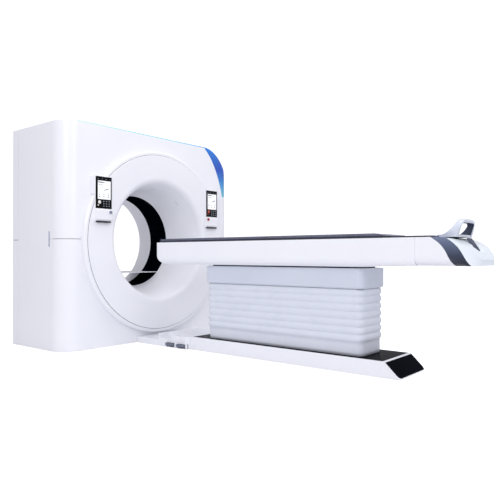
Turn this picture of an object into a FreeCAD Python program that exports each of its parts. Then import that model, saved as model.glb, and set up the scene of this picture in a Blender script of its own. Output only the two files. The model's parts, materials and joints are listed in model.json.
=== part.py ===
import FreeCAD, Part
import math
import os
from types import SimpleNamespace

import Sketcher

# A CT scanner: a ring-shaped gantry on the left of the scan axis Y, and a patient table before it.
# Millimetres. +X is to the right of someone facing the gantry, +Y runs along the scan axis from
# the table into the bore, +Z is up. The origin is on the floor, straight below the isocentre.

DIMENSIONS = {
    # gantry envelope
    "gantry_half_width": 1000, "gantry_height": 1900, "gantry_front": 440, "gantry_rear": 375,
    "iso_height": 930, "floor_gap": 6, "cover_wall": 5, "cover_seam": 0.8, "split_seam": 4,
    "split_height": 923, "side_seam": 250, "rear_seam": 253, "lip_lap": 14, "lip_gap": 0.5,
    "front_left_radius": 150, "front_right_radius": 109, "rear_radius": 40,
    "top_corner_wide": 365, "top_corner_tall": 482, "cover_corner_tall": 650,
    "band_rise": 10, "band_left": 850,
    "band_setback": 6, "band_foot": 1330, "top_return": 40,
    # front disc, bore and rear funnel
    "disc_radius": 834, "disc_drop": 15, "disc_depth": 55, "disc_edge": 4, "trim_width": 30, "trim_drop": 6,
    "trim_gap": 3,
    "flare_radius": 575, "flare_lip": 55, "bore_radius": 436, "window_front": 77,
    "window_rear": 167, "window_wall": 3, "rear_cone_radius": 450, "rear_lip": 30,
    "rear_flange_radius": 560, "rear_flange_depth": 12, "bore_floor_drop": 306,
    "bore_floor_wall": 6, "laser_length": 60, "laser_width": 5, "laser_angle": 40,
    "laser_depth": 366, "trim_fit": 0.3,
    # grips and vents
    "grip_height": 126, "grip_width": 20, "grip_depth": 16, "grip_wall": 2,
    "vent_length": 420, "vent_width": 150, "vent_slat": 8, "vent_count": 9,
    # control panels
    "panel_width": 165, "panel_height": 271, "panel_depth": 16, "panel_x": 662,
    "panel_low": 1178, "screen_depth": 5, "screen_border": 2, "tray_drop": 104,
    "tray_rise": 10, "button_radius": 13, "button_length": 16,
    "button_travel": 5, "button_proud": 8, "button_inset": 62, "button_drop": 26, "button_clearance": 0.4,
    # gantry inside
    "frame_low": 60, "frame_high": 150, "frame_half_width": 900, "frame_front": 400,
    "frame_rear": 320, "rail_width": 90, "post_size": 60, "post_front": 165, "foot_radius": 45,
    "foot_height": 14, "stem_radius": 14, "rotor_radius": 745, "rotor_inner": 465,
    "rotor_back": 215, "rotor_wall": 30, "race_split": 640, "race_width": 40, "race_depth": 45,
    "race_start": 3, "running_gap": 0.3, "stator_radius": 780, "stator_wall": 35,
    "slip_inner": 480, "slip_outer": 560, "slip_depth": 25, "tube_radius": 105,
    "tube_offset": 628, "tube_length": 250, "collimator_half": 90, "collimator_high": 52,
    "detector_inner": 610, "detector_outer": 700, "detector_half_angle": 31,
    "detector_depth": 205, "generator_x": 500, "generator_width": 190,
    "generator_half_height": 150, "generator_depth": 165, "weight_offset": 390,
    "weight_size": 140, "weight_depth": 130, "motor_x": 850, "motor_height": 252,
    "motor_radius": 84, "motor_length": 175, "pulley_radius": 60, "belt_wall": 5,
    "belt_width": 26,
    # table base
    "base_half_width": 215, "base_height": 111, "base_near": 1090, "base_flat_end": 2820,
    "base_far": 2930, "base_corner": 36, "base_wall": 5, "plate_inset": 12, "plate_wall": 7,
    "slope_margin": 8, "base_frame_half": 170, "base_foot_height": 20,
    # foot housing and pedals
    "housing_half_width": 250, "housing_low_height": 60, "housing_high": 108,
    "housing_step": 700, "housing_corner": 40, "recess_near": 740, "recess_length": 150,
    "recess_depth": 34, "recess_inset": 120, "pedal_length": 92, "pedal_width": 74,
    "pedal_height": 16, "pedal_first": 880, "pedal_second": 1010, "pedal_low": 26,
    "pedal_pin": 4, "pedal_slot": 4,
    # column
    "column_centre": 1932, "bellows_half_width": 160, "bellows_half_length": 700,
    "bellows_top": 563, "bellows_collar": 88, "bellows_folds": 7, "fold_depth": 9,
    "bellows_wall": 6, "bellows_corner": 45, "column_half_width": 180,
    "column_half_length": 718, "column_bevel": 10, "column_corner": 48,
    "mast_spread": 430, "mast_size": 160, "mast_wall": 8, "mast_top": 450,
    "inner_mast_size": 142, "inner_mast_low": 345, "actuator_radius": 45,
    "actuator_bore": 26, "rod_radius": 25.7, "carriage_wall": 10, "carriage_half_width": 150,
    "carriage_half_length": 650,
    # table top
    "top_half_width": 250, "trough_low": 712, "trough_high": 899.7, "trough_wall": 6,
    "trough_edge": 60, "trough_head": 710, "trough_head_radius": 85, "seam_y": 3040,
    "tail_low": 724, "tail_crest": 3158, "tail_brow": 3300, "tail_brow_drop": 36, "tail_end": 3400,
    "tail_end_low": 762, "tail_foot_radius": 25, "tail_plan_radius": 150, "rail_x": 150,
    "rail_wall": 30, "band_start": 3122, "band_width": 84, "band_sweep": 160,
    "tongue_half_width": 52, "tongue_wall": 5,
    "notch_top": 3285, "notch_foot": 3345, "notch_drop": 89, "notch_flare": 92, "ledge": 6,
    # cradle, pad and grab handle
    "board_low": 900, "board_wall": 9, "board_half_width": 238, "board_end": 3150,
    "pad_half_width": 222, "pad_wall": 20, "pad_end": 2820, "pad_gap": 0.3, "pad_slant": 60,
    "handle_half_width": 143, "handle_top": 1013, "handle_wall": 30, "handle_front": 3140,
    "handle_rear": 3259, "handle_taper": 26, "handle_corner": 92, "handle_depth": 40, "handle_lean": 30,
    "bar_height": 24,
}

# Angles of the three alignment-light slots, measured from the top of the bore.
LASER_PLACES = (-1, 0, 1)
SIDES = (("left", -1), ("right", 1))

doc = FreeCAD.newDocument("ct_scanner")
sheet = doc.addObject("Spreadsheet::Sheet", "dims")
nodes = []
V = FreeCAD.Vector


class Size:
    """A length that knows both its value and the spreadsheet formula it comes from."""

    def __init__(self, value, text):
        self.value = float(value)
        self.text = text

    def __add__(self, other):
        return Size(self.value + number(other), f"({self.text} + {formula(other)})")

    def __sub__(self, other):
        return Size(self.value - number(other), f"({self.text} - {formula(other)})")

    def __mul__(self, other):
        return Size(self.value * number(other), f"({self.text} * {formula(other)})")

    def __truediv__(self, other):
        return Size(self.value / number(other), f"({self.text} / {formula(other)})")

    def __radd__(self, other):
        return as_size(other) + self

    def __rsub__(self, other):
        return as_size(other) - self

    def __rmul__(self, other):
        return as_size(other) * self

    def __neg__(self):
        return Size(-self.value, f"(0 - {self.text})")


def number(size):
    return size.value if isinstance(size, Size) else float(size)


def formula(size):
    return size.text if isinstance(size, Size) else f"({float(size)!r})"


def as_size(size):
    return size if isinstance(size, Size) else Size(size, f"({float(size)!r})")


def fill_sheet():
    """Write each driving dimension to its own row and give its cell an alias."""
    for row, (alias, value) in enumerate(DIMENSIONS.items(), start=1):
        sheet.set(f"A{row}", alias)
        sheet.set(f"B{row}", str(value))
        sheet.setAlias(f"B{row}", alias)
    doc.recompute()


fill_sheet()
d = SimpleNamespace(**{alias: Size(sheet.get(alias), f"dims.{alias}") for alias in DIMENSIONS})
n = SimpleNamespace(**{alias: float(sheet.get(alias)) for alias in DIMENSIONS})


# ---------------------------------------------------------------- helpers for document objects

def bind(obj, path, size):
    obj.setExpression(path, formula(size))


def keep(obj, label):
    """Give a finished sub-part its own label and list it as a node."""
    obj.Label = label
    nodes.append(obj)
    return obj


def box(name, low, high):
    """A Part::Box between two opposite corners, every size bound to the sheet."""
    obj = doc.addObject("Part::Box", name)
    for path, start, end in zip(("Length", "Width", "Height"), low, high):
        bind(obj, path, as_size(end) - start)
    for axis, start in zip("xyz", low):
        bind(obj, f"Placement.Base.{axis}", start)
    return obj


def cylinder(name, start, radius, length, axis="z"):
    """A Part::Cylinder from its first end's centre, along Z or Y."""
    obj = doc.addObject("Part::Cylinder", name)
    if axis == "y":
        obj.Placement.Rotation = FreeCAD.Rotation(V(1, 0, 0), -90)
    if axis == "x":
        obj.Placement.Rotation = FreeCAD.Rotation(V(0, 1, 0), 90)
    bind(obj, "Radius", radius)
    bind(obj, "Height", length)
    for letter, place in zip("xyz", start):
        bind(obj, f"Placement.Base.{letter}", place)
    return obj


def cut(name, base, tool):
    obj = doc.addObject("Part::Cut", name)
    obj.Base = base
    obj.Tool = tool
    return obj


def fuse(name, shapes):
    obj = doc.addObject("Part::MultiFuse", name)
    obj.Shapes = shapes
    return obj


def group(name, shapes):
    """Several separate solids kept as one document object."""
    obj = doc.addObject("Part::Compound", name)
    obj.Links = shapes
    return obj


def fillet(name, base, radius, wanted):
    """Round the edges of base whose middle and direction pass the test wanted."""
    doc.recompute()
    obj = doc.addObject("Part::Fillet", name)
    obj.Base = base
    edges = []
    for index, edge in enumerate(base.Shape.Edges, start=1):
        if wanted(edge):
            edges.append((index, number(radius), number(radius)))
    obj.Edges = edges
    return obj


def along(edge, axis):
    """True for a straight edge parallel to the axis 0, 1 or 2."""
    ends = [vertex.Point for vertex in edge.Vertexes]
    if len(ends) < 2 or not isinstance(edge.Curve, Part.Line):
        return False
    span = ends[1] - ends[0]
    return abs(span[axis]) > 0.999 * span.Length


def outline_sketch(body, plane, points):
    """A closed sketch of straight sides, each corner held by two bound distances."""
    sketch = body.newObject("Sketcher::SketchObject", body.Name + "_outline")
    origin = [item for item in body.Origin.OriginFeatures if item.Role == plane]
    sketch.AttachmentSupport = [(origin[0], "")]
    sketch.MapMode = "FlatFace"
    places = [V(number(x), number(y), 0) for x, y in points]
    count = len(places)
    for index in range(count):
        line = Part.LineSegment(places[index], places[(index + 1) % count])
        sketch.addGeometry(line, False)
    for index in range(count):
        sketch.addConstraint(Sketcher.Constraint("Coincident", index, 2, (index + 1) % count, 1))
    for index, (x, y) in enumerate(points):
        for kind, size in (("DistanceX", x), ("DistanceY", y)):
            held = Sketcher.Constraint(kind, -1, 1, index, 1, number(size))
            made = sketch.addConstraint(held)
            sketch.setExpression(f"Constraints[{made}]", formula(size))
    return sketch


def ring_body(name, points, centre=None):
    """A ring about the scan axis, from an outline of (place along Y, radius) pairs."""
    body = doc.addObject("PartDesign::Body", name)
    sketch = outline_sketch(body, "YZ_Plane", points)
    turned = body.newObject("PartDesign::Revolution", name + "_turned")
    turned.Profile = sketch
    turned.ReferenceAxis = (sketch, ["H_Axis"])
    turned.Angle = 360
    bind(body, "Placement.Base.z", centre or d.iso_height)
    return body


# ------------------------------------------------------------------------- helpers for shapes

def solid_node(label, shape, place=None):
    """A Part::Feature for a form that no sketch feature or primitive gives."""
    obj = doc.addObject("Part::Feature", label)
    obj.Shape = shape
    obj.Placement = place if place else FreeCAD.Placement()
    return keep(obj, label)


def block(low, high):
    size = V(*high) - V(*low)
    return Part.makeBox(size.x, size.y, size.z, V(*low))


def rounded_wire(points, radii):
    """A closed flat wire through the corner points, each corner rounded by its radius."""
    edges = []
    count = len(points)
    starts = []
    ends = []
    for index, (corner, radius) in enumerate(zip(points, radii)):
        before = (points[index - 1] - corner).normalize()
        after = (points[(index + 1) % count] - corner).normalize()
        if radius <= 0:
            starts.append(corner)
            ends.append(corner)
            continue
        half = before.getAngle(after) / 2
        reach = radius / math.tan(half)
        first = corner + before * reach
        last = corner + after * reach
        centre = corner + (before + after).normalize() * (radius / math.sin(half))
        middle = centre + (corner - centre).normalize() * radius
        edges.append(Part.Arc(first, middle, last).toShape())
        starts.append(first)
        ends.append(last)
    for index in range(count):
        gap = starts[(index + 1) % count] - ends[index]
        if gap.Length > 0.001:
            edges.append(Part.LineSegment(ends[index], starts[(index + 1) % count]).toShape())
    return Part.Wire(Part.__sortEdges__(edges))


def prism(wire, travel):
    return Part.Face(wire).extrude(travel)


def side_prism(points, radii, half_width):
    """A prism across X of an outline given as (Y, Z) pairs."""
    wire = rounded_wire([V(-half_width, y, z) for y, z in points], radii)
    return prism(wire, V(2 * half_width, 0, 0))


def section_prism(points, radii, near, far):
    """A prism along Y of an outline given as (X, Z) pairs."""
    wire = rounded_wire([V(x, near, z) for x, z in points], radii)
    return prism(wire, V(0, far - near, 0))


def plan_prism(points, radii, low, high):
    """A prism up Z of an outline given as (X, Y) pairs."""
    wire = rounded_wire([V(x, y, low) for x, y in points], radii)
    return prism(wire, V(0, 0, high - low))


def bore_cylinder(radius, near, far):
    """A cylinder about the scan axis."""
    return Part.makeCylinder(radius, far - near, V(0, near, n.iso_height), V(0, 1, 0))


def disc_cylinder(radius, near, far):
    """A cylinder about the disc's own axis, which lies a little below the scan axis."""
    return Part.makeCylinder(radius, far - near, V(0, near, n.iso_height - n.disc_drop),
                             V(0, 1, 0))


def turned(edges):
    """Revolve edges drawn in the YZ plane about the scan axis."""
    face = Part.Face(Part.Wire(Part.__sortEdges__(edges)))
    return face.revolve(V(0, 0, n.iso_height), V(0, 1, 0), 360)


# ------------------------------------------------------------------------------ gantry covers

def front_outline(top, corner_wide, corner_tall, inset, low):
    """The gantry seen from the front: square at the top left, an elliptic top right corner."""
    half = n.gantry_half_width - inset
    high = top - inset
    wide = corner_wide - inset
    tall = corner_tall - inset
    centre = V(half - wide, 0, high - tall)
    if tall > wide:
        curve = Part.Ellipse(centre + V(0, 0, tall), centre + V(wide, 0, 0), centre)
    elif tall < wide:
        curve = Part.Ellipse(centre + V(wide, 0, 0), centre - V(0, 0, tall), centre)
    else:
        curve = Part.Circle(centre, V(0, 1, 0), wide)
    crown = centre + V(0, 0, tall)
    flank = centre + V(wide, 0, 0)
    spans = sorted((curve.parameter(crown), curve.parameter(flank)))
    if spans[1] - spans[0] > math.pi:
        spans = [spans[1] - 2 * math.pi, spans[0]]
    corner = curve.toShape(*spans)
    places = [crown, V(-half, 0, high), V(-half, 0, low), V(half, 0, low), flank]
    edges = [Part.LineSegment(a, b).toShape() for a, b in zip(places, places[1:])]
    return Part.Wire(Part.__sortEdges__(edges + [corner]))


def envelope(inset, corner_tall, top, low):
    """The gantry's outside, or its inside at an inset: front view and plan view combined."""
    wire = front_outline(top, n.top_corner_wide, corner_tall, inset, low)
    wire.translate(V(0, -n.gantry_front - 10, 0))
    front = prism(wire, V(0, n.gantry_front + n.gantry_rear + 20, 0))
    half = n.gantry_half_width - inset
    near = inset - n.gantry_front
    far = n.gantry_rear - inset
    corners = [(-half, near), (half, near), (half, far), (-half, far)]
    radii = [n.front_left_radius, n.front_right_radius, n.rear_radius, n.rear_radius]
    plan = plan_prism(corners, [radius - inset for radius in radii], low - 5, n.gantry_height + 5)
    return front.common(plan)


def cover_shell(corner_tall, inset=0.0, wall=None):
    """One skin of the covers, open below."""
    top = n.gantry_height - n.band_rise
    wall = wall or n.cover_wall
    outer = envelope(inset, corner_tall, top, n.floor_gap)
    return outer.cut(envelope(inset + wall, corner_tall, top, n.floor_gap - 1))


def region(x=(-1100, 1100), y=(-600, 600), z=(0, 2000)):
    return block((x[0], y[0], z[0]), (x[1], y[1], z[1]))


def front_covers():
    """Upper and lower front covers, which meet at a seam with a lip behind it."""
    skin = cover_shell(n.cover_corner_tall)
    lip = cover_shell(n.cover_corner_tall, n.cover_wall + n.lip_gap, 4)
    hole = disc_cylinder(disc_skirt_radius() - n.cover_wall - 8, -n.gantry_front - 5, 0)
    back = -n.side_seam - n.cover_seam / 2
    low_edge = n.split_height - n.split_seam / 2
    high_edge = n.split_height + n.split_seam / 2
    upper = skin.common(region(y=(-600, back), z=(high_edge, 2000))).cut(hole)
    lower = skin.common(region(y=(-600, back), z=(0, low_edge))).cut(hole)
    lip_zone = region(y=(-600, back), z=(low_edge - n.lip_lap, high_edge + n.lip_lap))
    foot_zone = region(y=(-600, back), z=(low_edge - n.lip_lap, low_edge - 2))
    bridge = cover_shell(n.cover_corner_tall, n.cover_wall - 1, n.lip_gap + 2).common(foot_zone)
    lower = lower.fuse([lip.common(lip_zone).cut(hole), bridge.cut(hole)]).removeSplitter()
    solid_node("front_cover_upper", upper)
    solid_node("front_cover_lower", lower)


def accent_band():
    """The blue band between the front cover's edge and the outer silhouette."""
    outer = envelope(0, n.top_corner_tall, n.gantry_height, n.floor_gap)
    gap = n.lip_gap
    wire = front_outline(n.gantry_height - n.band_rise, n.top_corner_wide,
                         n.cover_corner_tall, -gap, 0)
    wire.translate(V(0, -n.gantry_front - 20, 0))
    cover = prism(wire, V(0, n.gantry_front + n.gantry_rear, 0))
    front = n.band_setback - n.gantry_front
    zone = region(x=(-n.band_left, 1100), y=(front, -n.side_seam), z=(n.band_foot, 2000))
    solid_node("accent_band", outer.common(zone).cut(cover))


def grip_pocket(sign, extra):
    """The space of one side grip at the seam, grown by extra on every side but its mouth."""
    half = n.gantry_half_width
    near = -n.side_seam + n.cover_seam / 2 - extra
    far = near + n.grip_width + 2 * extra
    low = n.split_height - n.grip_height / 2 - extra
    high = n.split_height + n.grip_height / 2 + extra
    xs = sorted((sign * (half + 1), sign * (half - n.grip_depth - extra)))
    return block((xs[0], near, low), (xs[1], far, high))


def side_panels(cover):
    """A side cover as the three panels it is moulded in: below, beside and above its grip."""
    reach = n.grip_height / 2 + n.trim_fit
    low = n.split_height - reach
    high = n.split_height + reach
    spans = ((0, low), (low, high), (high, 2000))
    return Part.makeCompound([cover.common(region(z=span)) for span in spans])


def side_and_top_covers():
    """Side covers with their grip holes, and the top cover with its two vent holes."""
    skin = cover_shell(n.top_corner_tall - n.band_rise)
    lip = cover_shell(n.top_corner_tall - n.band_rise, n.cover_wall + n.lip_gap, 4)
    step = cover_shell(n.top_corner_tall - n.band_rise, n.cover_wall - 1, n.lip_gap + 2)
    near = -n.side_seam + n.cover_seam / 2
    far = n.rear_seam - n.split_seam / 2
    lap = n.rear_seam + n.split_seam / 2 + n.lip_lap
    left_end = -n.gantry_half_width + n.top_return
    right_end = n.gantry_half_width - n.top_corner_wide - n.top_return
    seam = n.cover_seam / 2
    spans = (("side_cover_left", -1100, left_end - seam), ("top_cover", left_end + seam,
             right_end - seam), ("side_cover_right", right_end + seam, 1100))
    for label, low_x, high_x in spans:
        piece = skin.common(region(x=(low_x, high_x), y=(near, far)))
        rear = lip.common(region(x=(low_x, high_x), y=(far - n.lip_lap, lap)))
        bridge = step.common(region(x=(low_x, high_x), y=(far - n.lip_lap, far - 2)))
        piece = piece.fuse([rear, bridge]).removeSplitter()
        if label == "top_cover":
            for place in vent_places():
                piece = piece.cut(vent_hole(place, 0, 40))
        else:
            sign = -1 if label.endswith("left") else 1
            piece = side_panels(piece.cut(grip_pocket(sign, n.trim_fit)))
        solid_node(label, piece)


def rear_covers():
    """Upper and lower rear covers round the rear of the bore."""
    tall = n.top_corner_tall - n.band_rise
    skin = cover_shell(tall)
    lip = cover_shell(tall, n.cover_wall + n.lip_gap, 4)
    step = cover_shell(tall, n.cover_wall - 1, n.lip_gap + 2)
    near = n.rear_seam + n.split_seam / 2
    hole = bore_cylinder(n.rear_flange_radius - 20, near, n.gantry_rear + 5)
    low_edge = n.split_height - n.split_seam / 2
    high_edge = n.split_height + n.split_seam / 2
    inner_near = near + n.lip_lap + 3
    upper = skin.common(region(y=(near, 600), z=(high_edge, 2000))).cut(hole)
    lower = skin.common(region(y=(near, 600), z=(0, low_edge))).cut(hole)
    lap = lip.common(region(y=(inner_near, 600), z=(low_edge - n.lip_lap, high_edge + n.lip_lap)))
    bridge = step.common(region(y=(inner_near, 600), z=(low_edge - n.lip_lap, low_edge - 2)))
    lower = lower.fuse([lap.cut(hole), bridge.cut(hole)]).removeSplitter()
    solid_node("rear_cover_upper", upper)
    solid_node("rear_cover_lower", lower)


def side_grips():
    """Two open cups that line the grip holes."""
    cups = []
    for _, sign in SIDES:
        cup = grip_pocket(sign, 0)
        hollow = grip_pocket(sign, -n.grip_wall)
        trim = region(x=(-n.gantry_half_width, n.gantry_half_width))
        cups.append(cup.common(trim).cut(hollow))
    solid_node("side_grips", Part.makeCompound(cups))


def vent_places():
    middle = -n.top_corner_wide / 2
    return (middle - 0.62 * n.vent_length, middle + 0.62 * n.vent_length)


def vent_hole(centre, shrink, depth):
    top = n.gantry_height - n.band_rise
    half_long = n.vent_length / 2 - shrink
    half_wide = n.vent_width / 2 - shrink
    return block((centre - half_long, -half_wide, top - depth),
                 (centre + half_long, half_wide, top + 1))


def vent_grilles():
    """Two slatted frames set into the top cover."""
    frames = []
    top = n.gantry_height - n.band_rise
    for centre in vent_places():
        frame = vent_hole(centre, n.trim_fit, n.cover_wall)
        frame = frame.common(region(z=(0, top)))
        pitch = (n.vent_length - 2 * n.vent_slat) / n.vent_count
        for index in range(n_whole("vent_count")):
            low_x = centre - n.vent_length / 2 + 1.5 * n.vent_slat + index * pitch
            high_x = low_x + pitch - n.vent_slat
            half_wide = n.vent_width / 2 - n.vent_slat
            frame = frame.cut(block((low_x, -half_wide, 0), (high_x, half_wide, 2000)))
        frames.append(frame)
    solid_node("vent_grilles", Part.makeCompound(frames))


def n_whole(alias):
    return int(round(getattr(n, alias)))


# ------------------------------------------------------------------------ disc, bore and funnels

def disc_skirt_radius():
    return n.disc_radius - n.trim_width - n.trim_gap


def flare_edges(wall):
    """The front face and bell mouth as edges in the YZ plane, wall being how far behind."""
    face = -n.gantry_front - n.disc_depth + wall
    lip = n.flare_lip - wall
    end_radius = n.bore_radius + wall
    run = n.gantry_front + n.disc_depth - n.window_front - n.flare_lip
    rise = n.flare_radius - n.bore_radius - n.flare_lip
    turn = 2 * math.atan(rise / run)
    sweep = run / math.sin(turn) + n.flare_lip - wall
    centre_z = n.iso_height
    lip_centre = V(0, face + lip, centre_z + n.flare_radius)
    start = lip_centre + V(0, -lip, 0)

    def on_lip(angle):
        return lip_centre + V(0, -lip * math.cos(angle), -lip * math.sin(angle))

    middle = on_lip((math.pi / 2 - turn) / 2)
    joint = on_lip(math.pi / 2 - turn)
    sweep_centre = V(0, -n.window_front, centre_z + end_radius + sweep)

    def on_sweep(angle):
        return sweep_centre + V(0, -sweep * math.sin(angle), -sweep * math.cos(angle))

    arcs = [Part.Arc(start, middle, joint).toShape(),
            Part.Arc(joint, on_sweep(turn / 2), on_sweep(0)).toShape()]
    return start, on_sweep(0), arcs


def line(a, b):
    return Part.LineSegment(a, b).toShape()


def disc_solid():
    """The disc cover: a flat ring with a skirt, and a bell mouth down to the window."""
    outer_start, outer_end, outer_arcs = flare_edges(0)
    inner_start, inner_end, inner_arcs = flare_edges(n.cover_wall)
    ends = [line(outer_start, inner_start), line(inner_end, outer_end)]
    mouth = turned(outer_arcs + inner_arcs + ends)
    rim = disc_skirt_radius()
    face = -n.gantry_front - n.disc_depth
    plate = disc_cylinder(rim, face, -n.gantry_front)
    front_edge = [edge for edge in plate.Edges
                  if len(edge.Vertexes) == 1 and edge.BoundBox.YMax < face + 1]
    plate = plate.makeFillet(n.disc_edge, front_edge)
    plate = plate.cut(disc_cylinder(rim - n.cover_wall, face + n.cover_wall, 0))
    plate = plate.cut(bore_cylinder(n.flare_radius, face - 1, 0))
    return plate.fuse(mouth).removeSplitter()


def laser_tool(place, shrink):
    """A block through the bell mouth at one alignment-light slot."""
    half_long = n.laser_length / 2 - shrink
    half_wide = n.laser_width / 2 - shrink
    tool = block((-half_long, -n.laser_depth - half_wide, n.iso_height + n.bore_radius - 20),
                 (half_long, -n.laser_depth + half_wide, n.iso_height + n.bore_radius + 90))
    tool.rotate(V(0, 0, n.iso_height), V(0, 1, 0), place * n.laser_angle)
    return tool


def front_disc_and_lasers():
    disc = disc_solid()
    windows = []
    slotted = disc
    for place in LASER_PLACES:
        slotted = slotted.cut(laser_tool(place, 0))
        windows.append(disc.common(laser_tool(place, n.trim_fit)))
    solid_node("front_disc", slotted)
    solid_node("laser_windows", Part.makeCompound(windows))


def disc_trim_ring():
    """A bevelled ring round the disc, seated on the front covers."""
    inner = d.disc_radius - d.trim_width
    face = -(d.gantry_front + d.disc_depth - d.trim_drop)
    bevel = d.trim_width / 3
    outline = [(-d.gantry_front, inner), (face, inner), (face, d.disc_radius - bevel),
               (face + bevel, d.disc_radius), (-d.gantry_front, d.disc_radius)]
    keep(ring_body("trim_ring", outline, d.iso_height - d.disc_drop), "disc_trim_ring")


def bore_window():
    """The dark X-ray window, a thin tube between the two funnels."""
    outer = d.bore_radius + d.window_wall
    outline = [(-d.window_front, d.bore_radius), (d.window_rear, d.bore_radius),
               (d.window_rear, outer), (-d.window_front, outer)]
    keep(ring_body("window", outline), "bore_window")


def rear_funnel():
    """The rear bore lining: a slight cone that turns out over the rear covers."""
    wall = d.cover_wall
    flange_face = d.gantry_rear + d.rear_flange_depth
    knee = d.gantry_rear - d.rear_lip
    lip_radius = d.rear_cone_radius + d.rear_lip
    outline = [(d.window_rear, d.bore_radius), (knee, d.rear_cone_radius),
               (d.gantry_rear, d.rear_cone_radius + d.rear_lip * 0.3),
               (flange_face, lip_radius), (flange_face, d.rear_flange_radius - 6),
               (flange_face - 6, d.rear_flange_radius), (d.gantry_rear, d.rear_flange_radius),
               (d.gantry_rear, d.rear_flange_radius - wall),
               (flange_face - wall, d.rear_flange_radius - wall - 4),
               (flange_face - wall, lip_radius + 3),
               (d.gantry_rear - 2, d.rear_cone_radius + d.rear_lip * 0.3 + wall),
               (knee, d.rear_cone_radius + wall), (d.window_rear, d.bore_radius + wall)]
    keep(ring_body("funnel_rear", outline), "rear_funnel")


def bore_floor():
    """A flat shelf along the bottom of the bore."""
    top = n.iso_height - n.bore_floor_drop
    slab = block((-n.bore_radius, -n.window_front, top - n.bore_floor_wall),
                 (n.bore_radius, n.gantry_rear - n.rear_lip, top))
    solid_node("bore_floor_tray", slab.common(
        bore_cylinder(n.bore_radius - n.trim_fit, -n.window_front, n.gantry_rear)))


# ---------------------------------------------------------------------------- control panels

def panel_front():
    return -n.gantry_front - n.disc_depth - n.panel_depth


def control_panels():
    """On each side a housing with a tray, its touch screen and one push button."""
    seat = -n.gantry_front - n.disc_depth
    for label, sign in SIDES:
        middle = sign * n.panel_x
        low = n.panel_low
        half = n.panel_width / 2
        face = panel_front()
        body = plan_prism([(middle - half, face), (middle + half, face),
                           (middle + half, seat), (middle - half, seat)],
                          [5, 5, 0, 0], low, low + n.panel_height)
        backing = plan_prism([(middle - half, seat), (middle + half, seat),
                              (middle + half, -n.gantry_front),
                              (middle - half, -n.gantry_front)], [0] * 4, low,
                             low + n.panel_height)
        backing = backing.cut(disc_cylinder(n.disc_radius + n.trim_gap, seat - 1, 0))
        body = body.fuse(backing)
        pocket = block((middle - half + n.screen_border, face - 1, low + n.screen_border),
                       (middle + half - n.screen_border, face + n.screen_depth,
                        low + n.panel_height - n.screen_border))
        screen = pocket.common(block((-900, face - 0.5, 0), (900, face + 9, 2000)))
        body = body.cut(pocket)
        tray = tray_solid(middle, half, face, seat, low)
        place = (sign * (n.panel_x - n.button_inset), low - n.button_drop)
        hole_end = face - n.tray_rise - n.button_proud + n.button_length + n.button_travel
        hole = Part.makeCylinder(n.button_radius + n.button_clearance, 60,
                                 V(place[0], hole_end - 60, place[1]), V(0, 1, 0))
        housing = body.fuse(tray).removeSplitter().cut(hole)
        solid_node(f"panel_housing_{label}", housing)
        solid_node(f"touch_screen_{label}", screen.cut(hole))
        push_button(label, place, face)


def tray_solid(middle, half, face, seat, low):
    """The shelf below a screen: a shallow wedge that stands further out at its lower edge."""
    drop = n.tray_drop
    front = face - n.tray_rise
    points = [(seat, low), (face, low), (front, low - 10),
              (front, low - drop + 16), (front + 12, low - drop), (seat, low - drop)]
    shelf = side_prism(points, [0, 4, 14, 8, 8, 0], half)
    shelf.translate(V(middle, 0, 0))
    return shelf


def push_button(label, place, face):
    """A round button that sinks into the tray's upper corner."""
    x, z = place
    front = face - n.tray_rise
    shaft = Part.makeCylinder(n.button_radius, n.button_length,
                              V(x, front - n.button_proud, z), V(0, 1, 0))
    name = "panel_button_left" if label == "left" else "emergency_stop_right"
    solid_node(name, shaft)


# ------------------------------------------------------------------------- inside the gantry

def gantry_frame():
    """A welded base of four rails with four posts and two head beams."""
    half = d.frame_half_width
    rail = d.rail_width
    outer = box("base_block", (-half, -d.frame_front, d.frame_low),
                (half, d.frame_rear, d.frame_high))
    gap = box("base_gap", (-half + rail, -d.frame_front + rail, d.frame_low - 1),
              (half - rail, d.frame_rear - rail, d.frame_high + 1))
    rails = cut("base_rails", outer, gap)
    beams = [rails]
    for label, sign in SIDES:
        wall = d.gantry_half_width - d.cover_wall
        inside = wall - d.post_size
        low_x, high_x = (inside, wall) if sign > 0 else (-wall, -inside)
        high = d.iso_height + d.gantry_height * 0.25
        for place, near in (("front", -d.post_front - d.post_size), ("rear", 1 * d.post_front)):
            beams.append(box(f"post_{label}_{place}", (low_x, near, d.frame_low),
                             (high_x, near + d.post_size, high)))
        beams.append(box(f"sill_{label}", (low_x if sign < 0 else half - 1, -d.post_front
                                           - d.post_size, d.frame_low),
                         (high_x if sign > 0 else 1 - half, d.post_front + d.post_size,
                          d.frame_high)))
    for place, near in (("front", -d.frame_front), ("rear", d.frame_rear - d.post_size)):
        for label, sign in SIDES:
            edge = sign * (half - d.post_size)
            low_x, high_x = (edge, half) if sign > 0 else (-half, edge)
            beams.append(box(f"stub_{label}_{place}", (low_x, near, d.frame_low),
                             (high_x, near + d.post_size, d.frame_high + 120)))
    keep(fuse("frame_weldment", beams), "gantry_frame")


def gantry_feet():
    """Four levelling feet under the frame."""
    feet = []
    for label, sign in SIDES:
        for place, y in (("front", -d.frame_front + d.rail_width / 2),
                         ("rear", d.frame_rear - d.rail_width / 2)):
            x = sign * (d.frame_half_width - d.rail_width / 2)
            pad = cylinder(f"pad_{label}_{place}", (x, y, 0), d.foot_radius, d.foot_height)
            stem = cylinder(f"stem_{label}_{place}", (x, y, d.foot_height - 1), d.stem_radius,
                            d.frame_low - d.foot_height + 1)
            feet.append(fuse(f"foot_{label}_{place}", [pad, stem]))
    keep(group("gantry_levelling_feet", feet), "gantry_feet")


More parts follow.
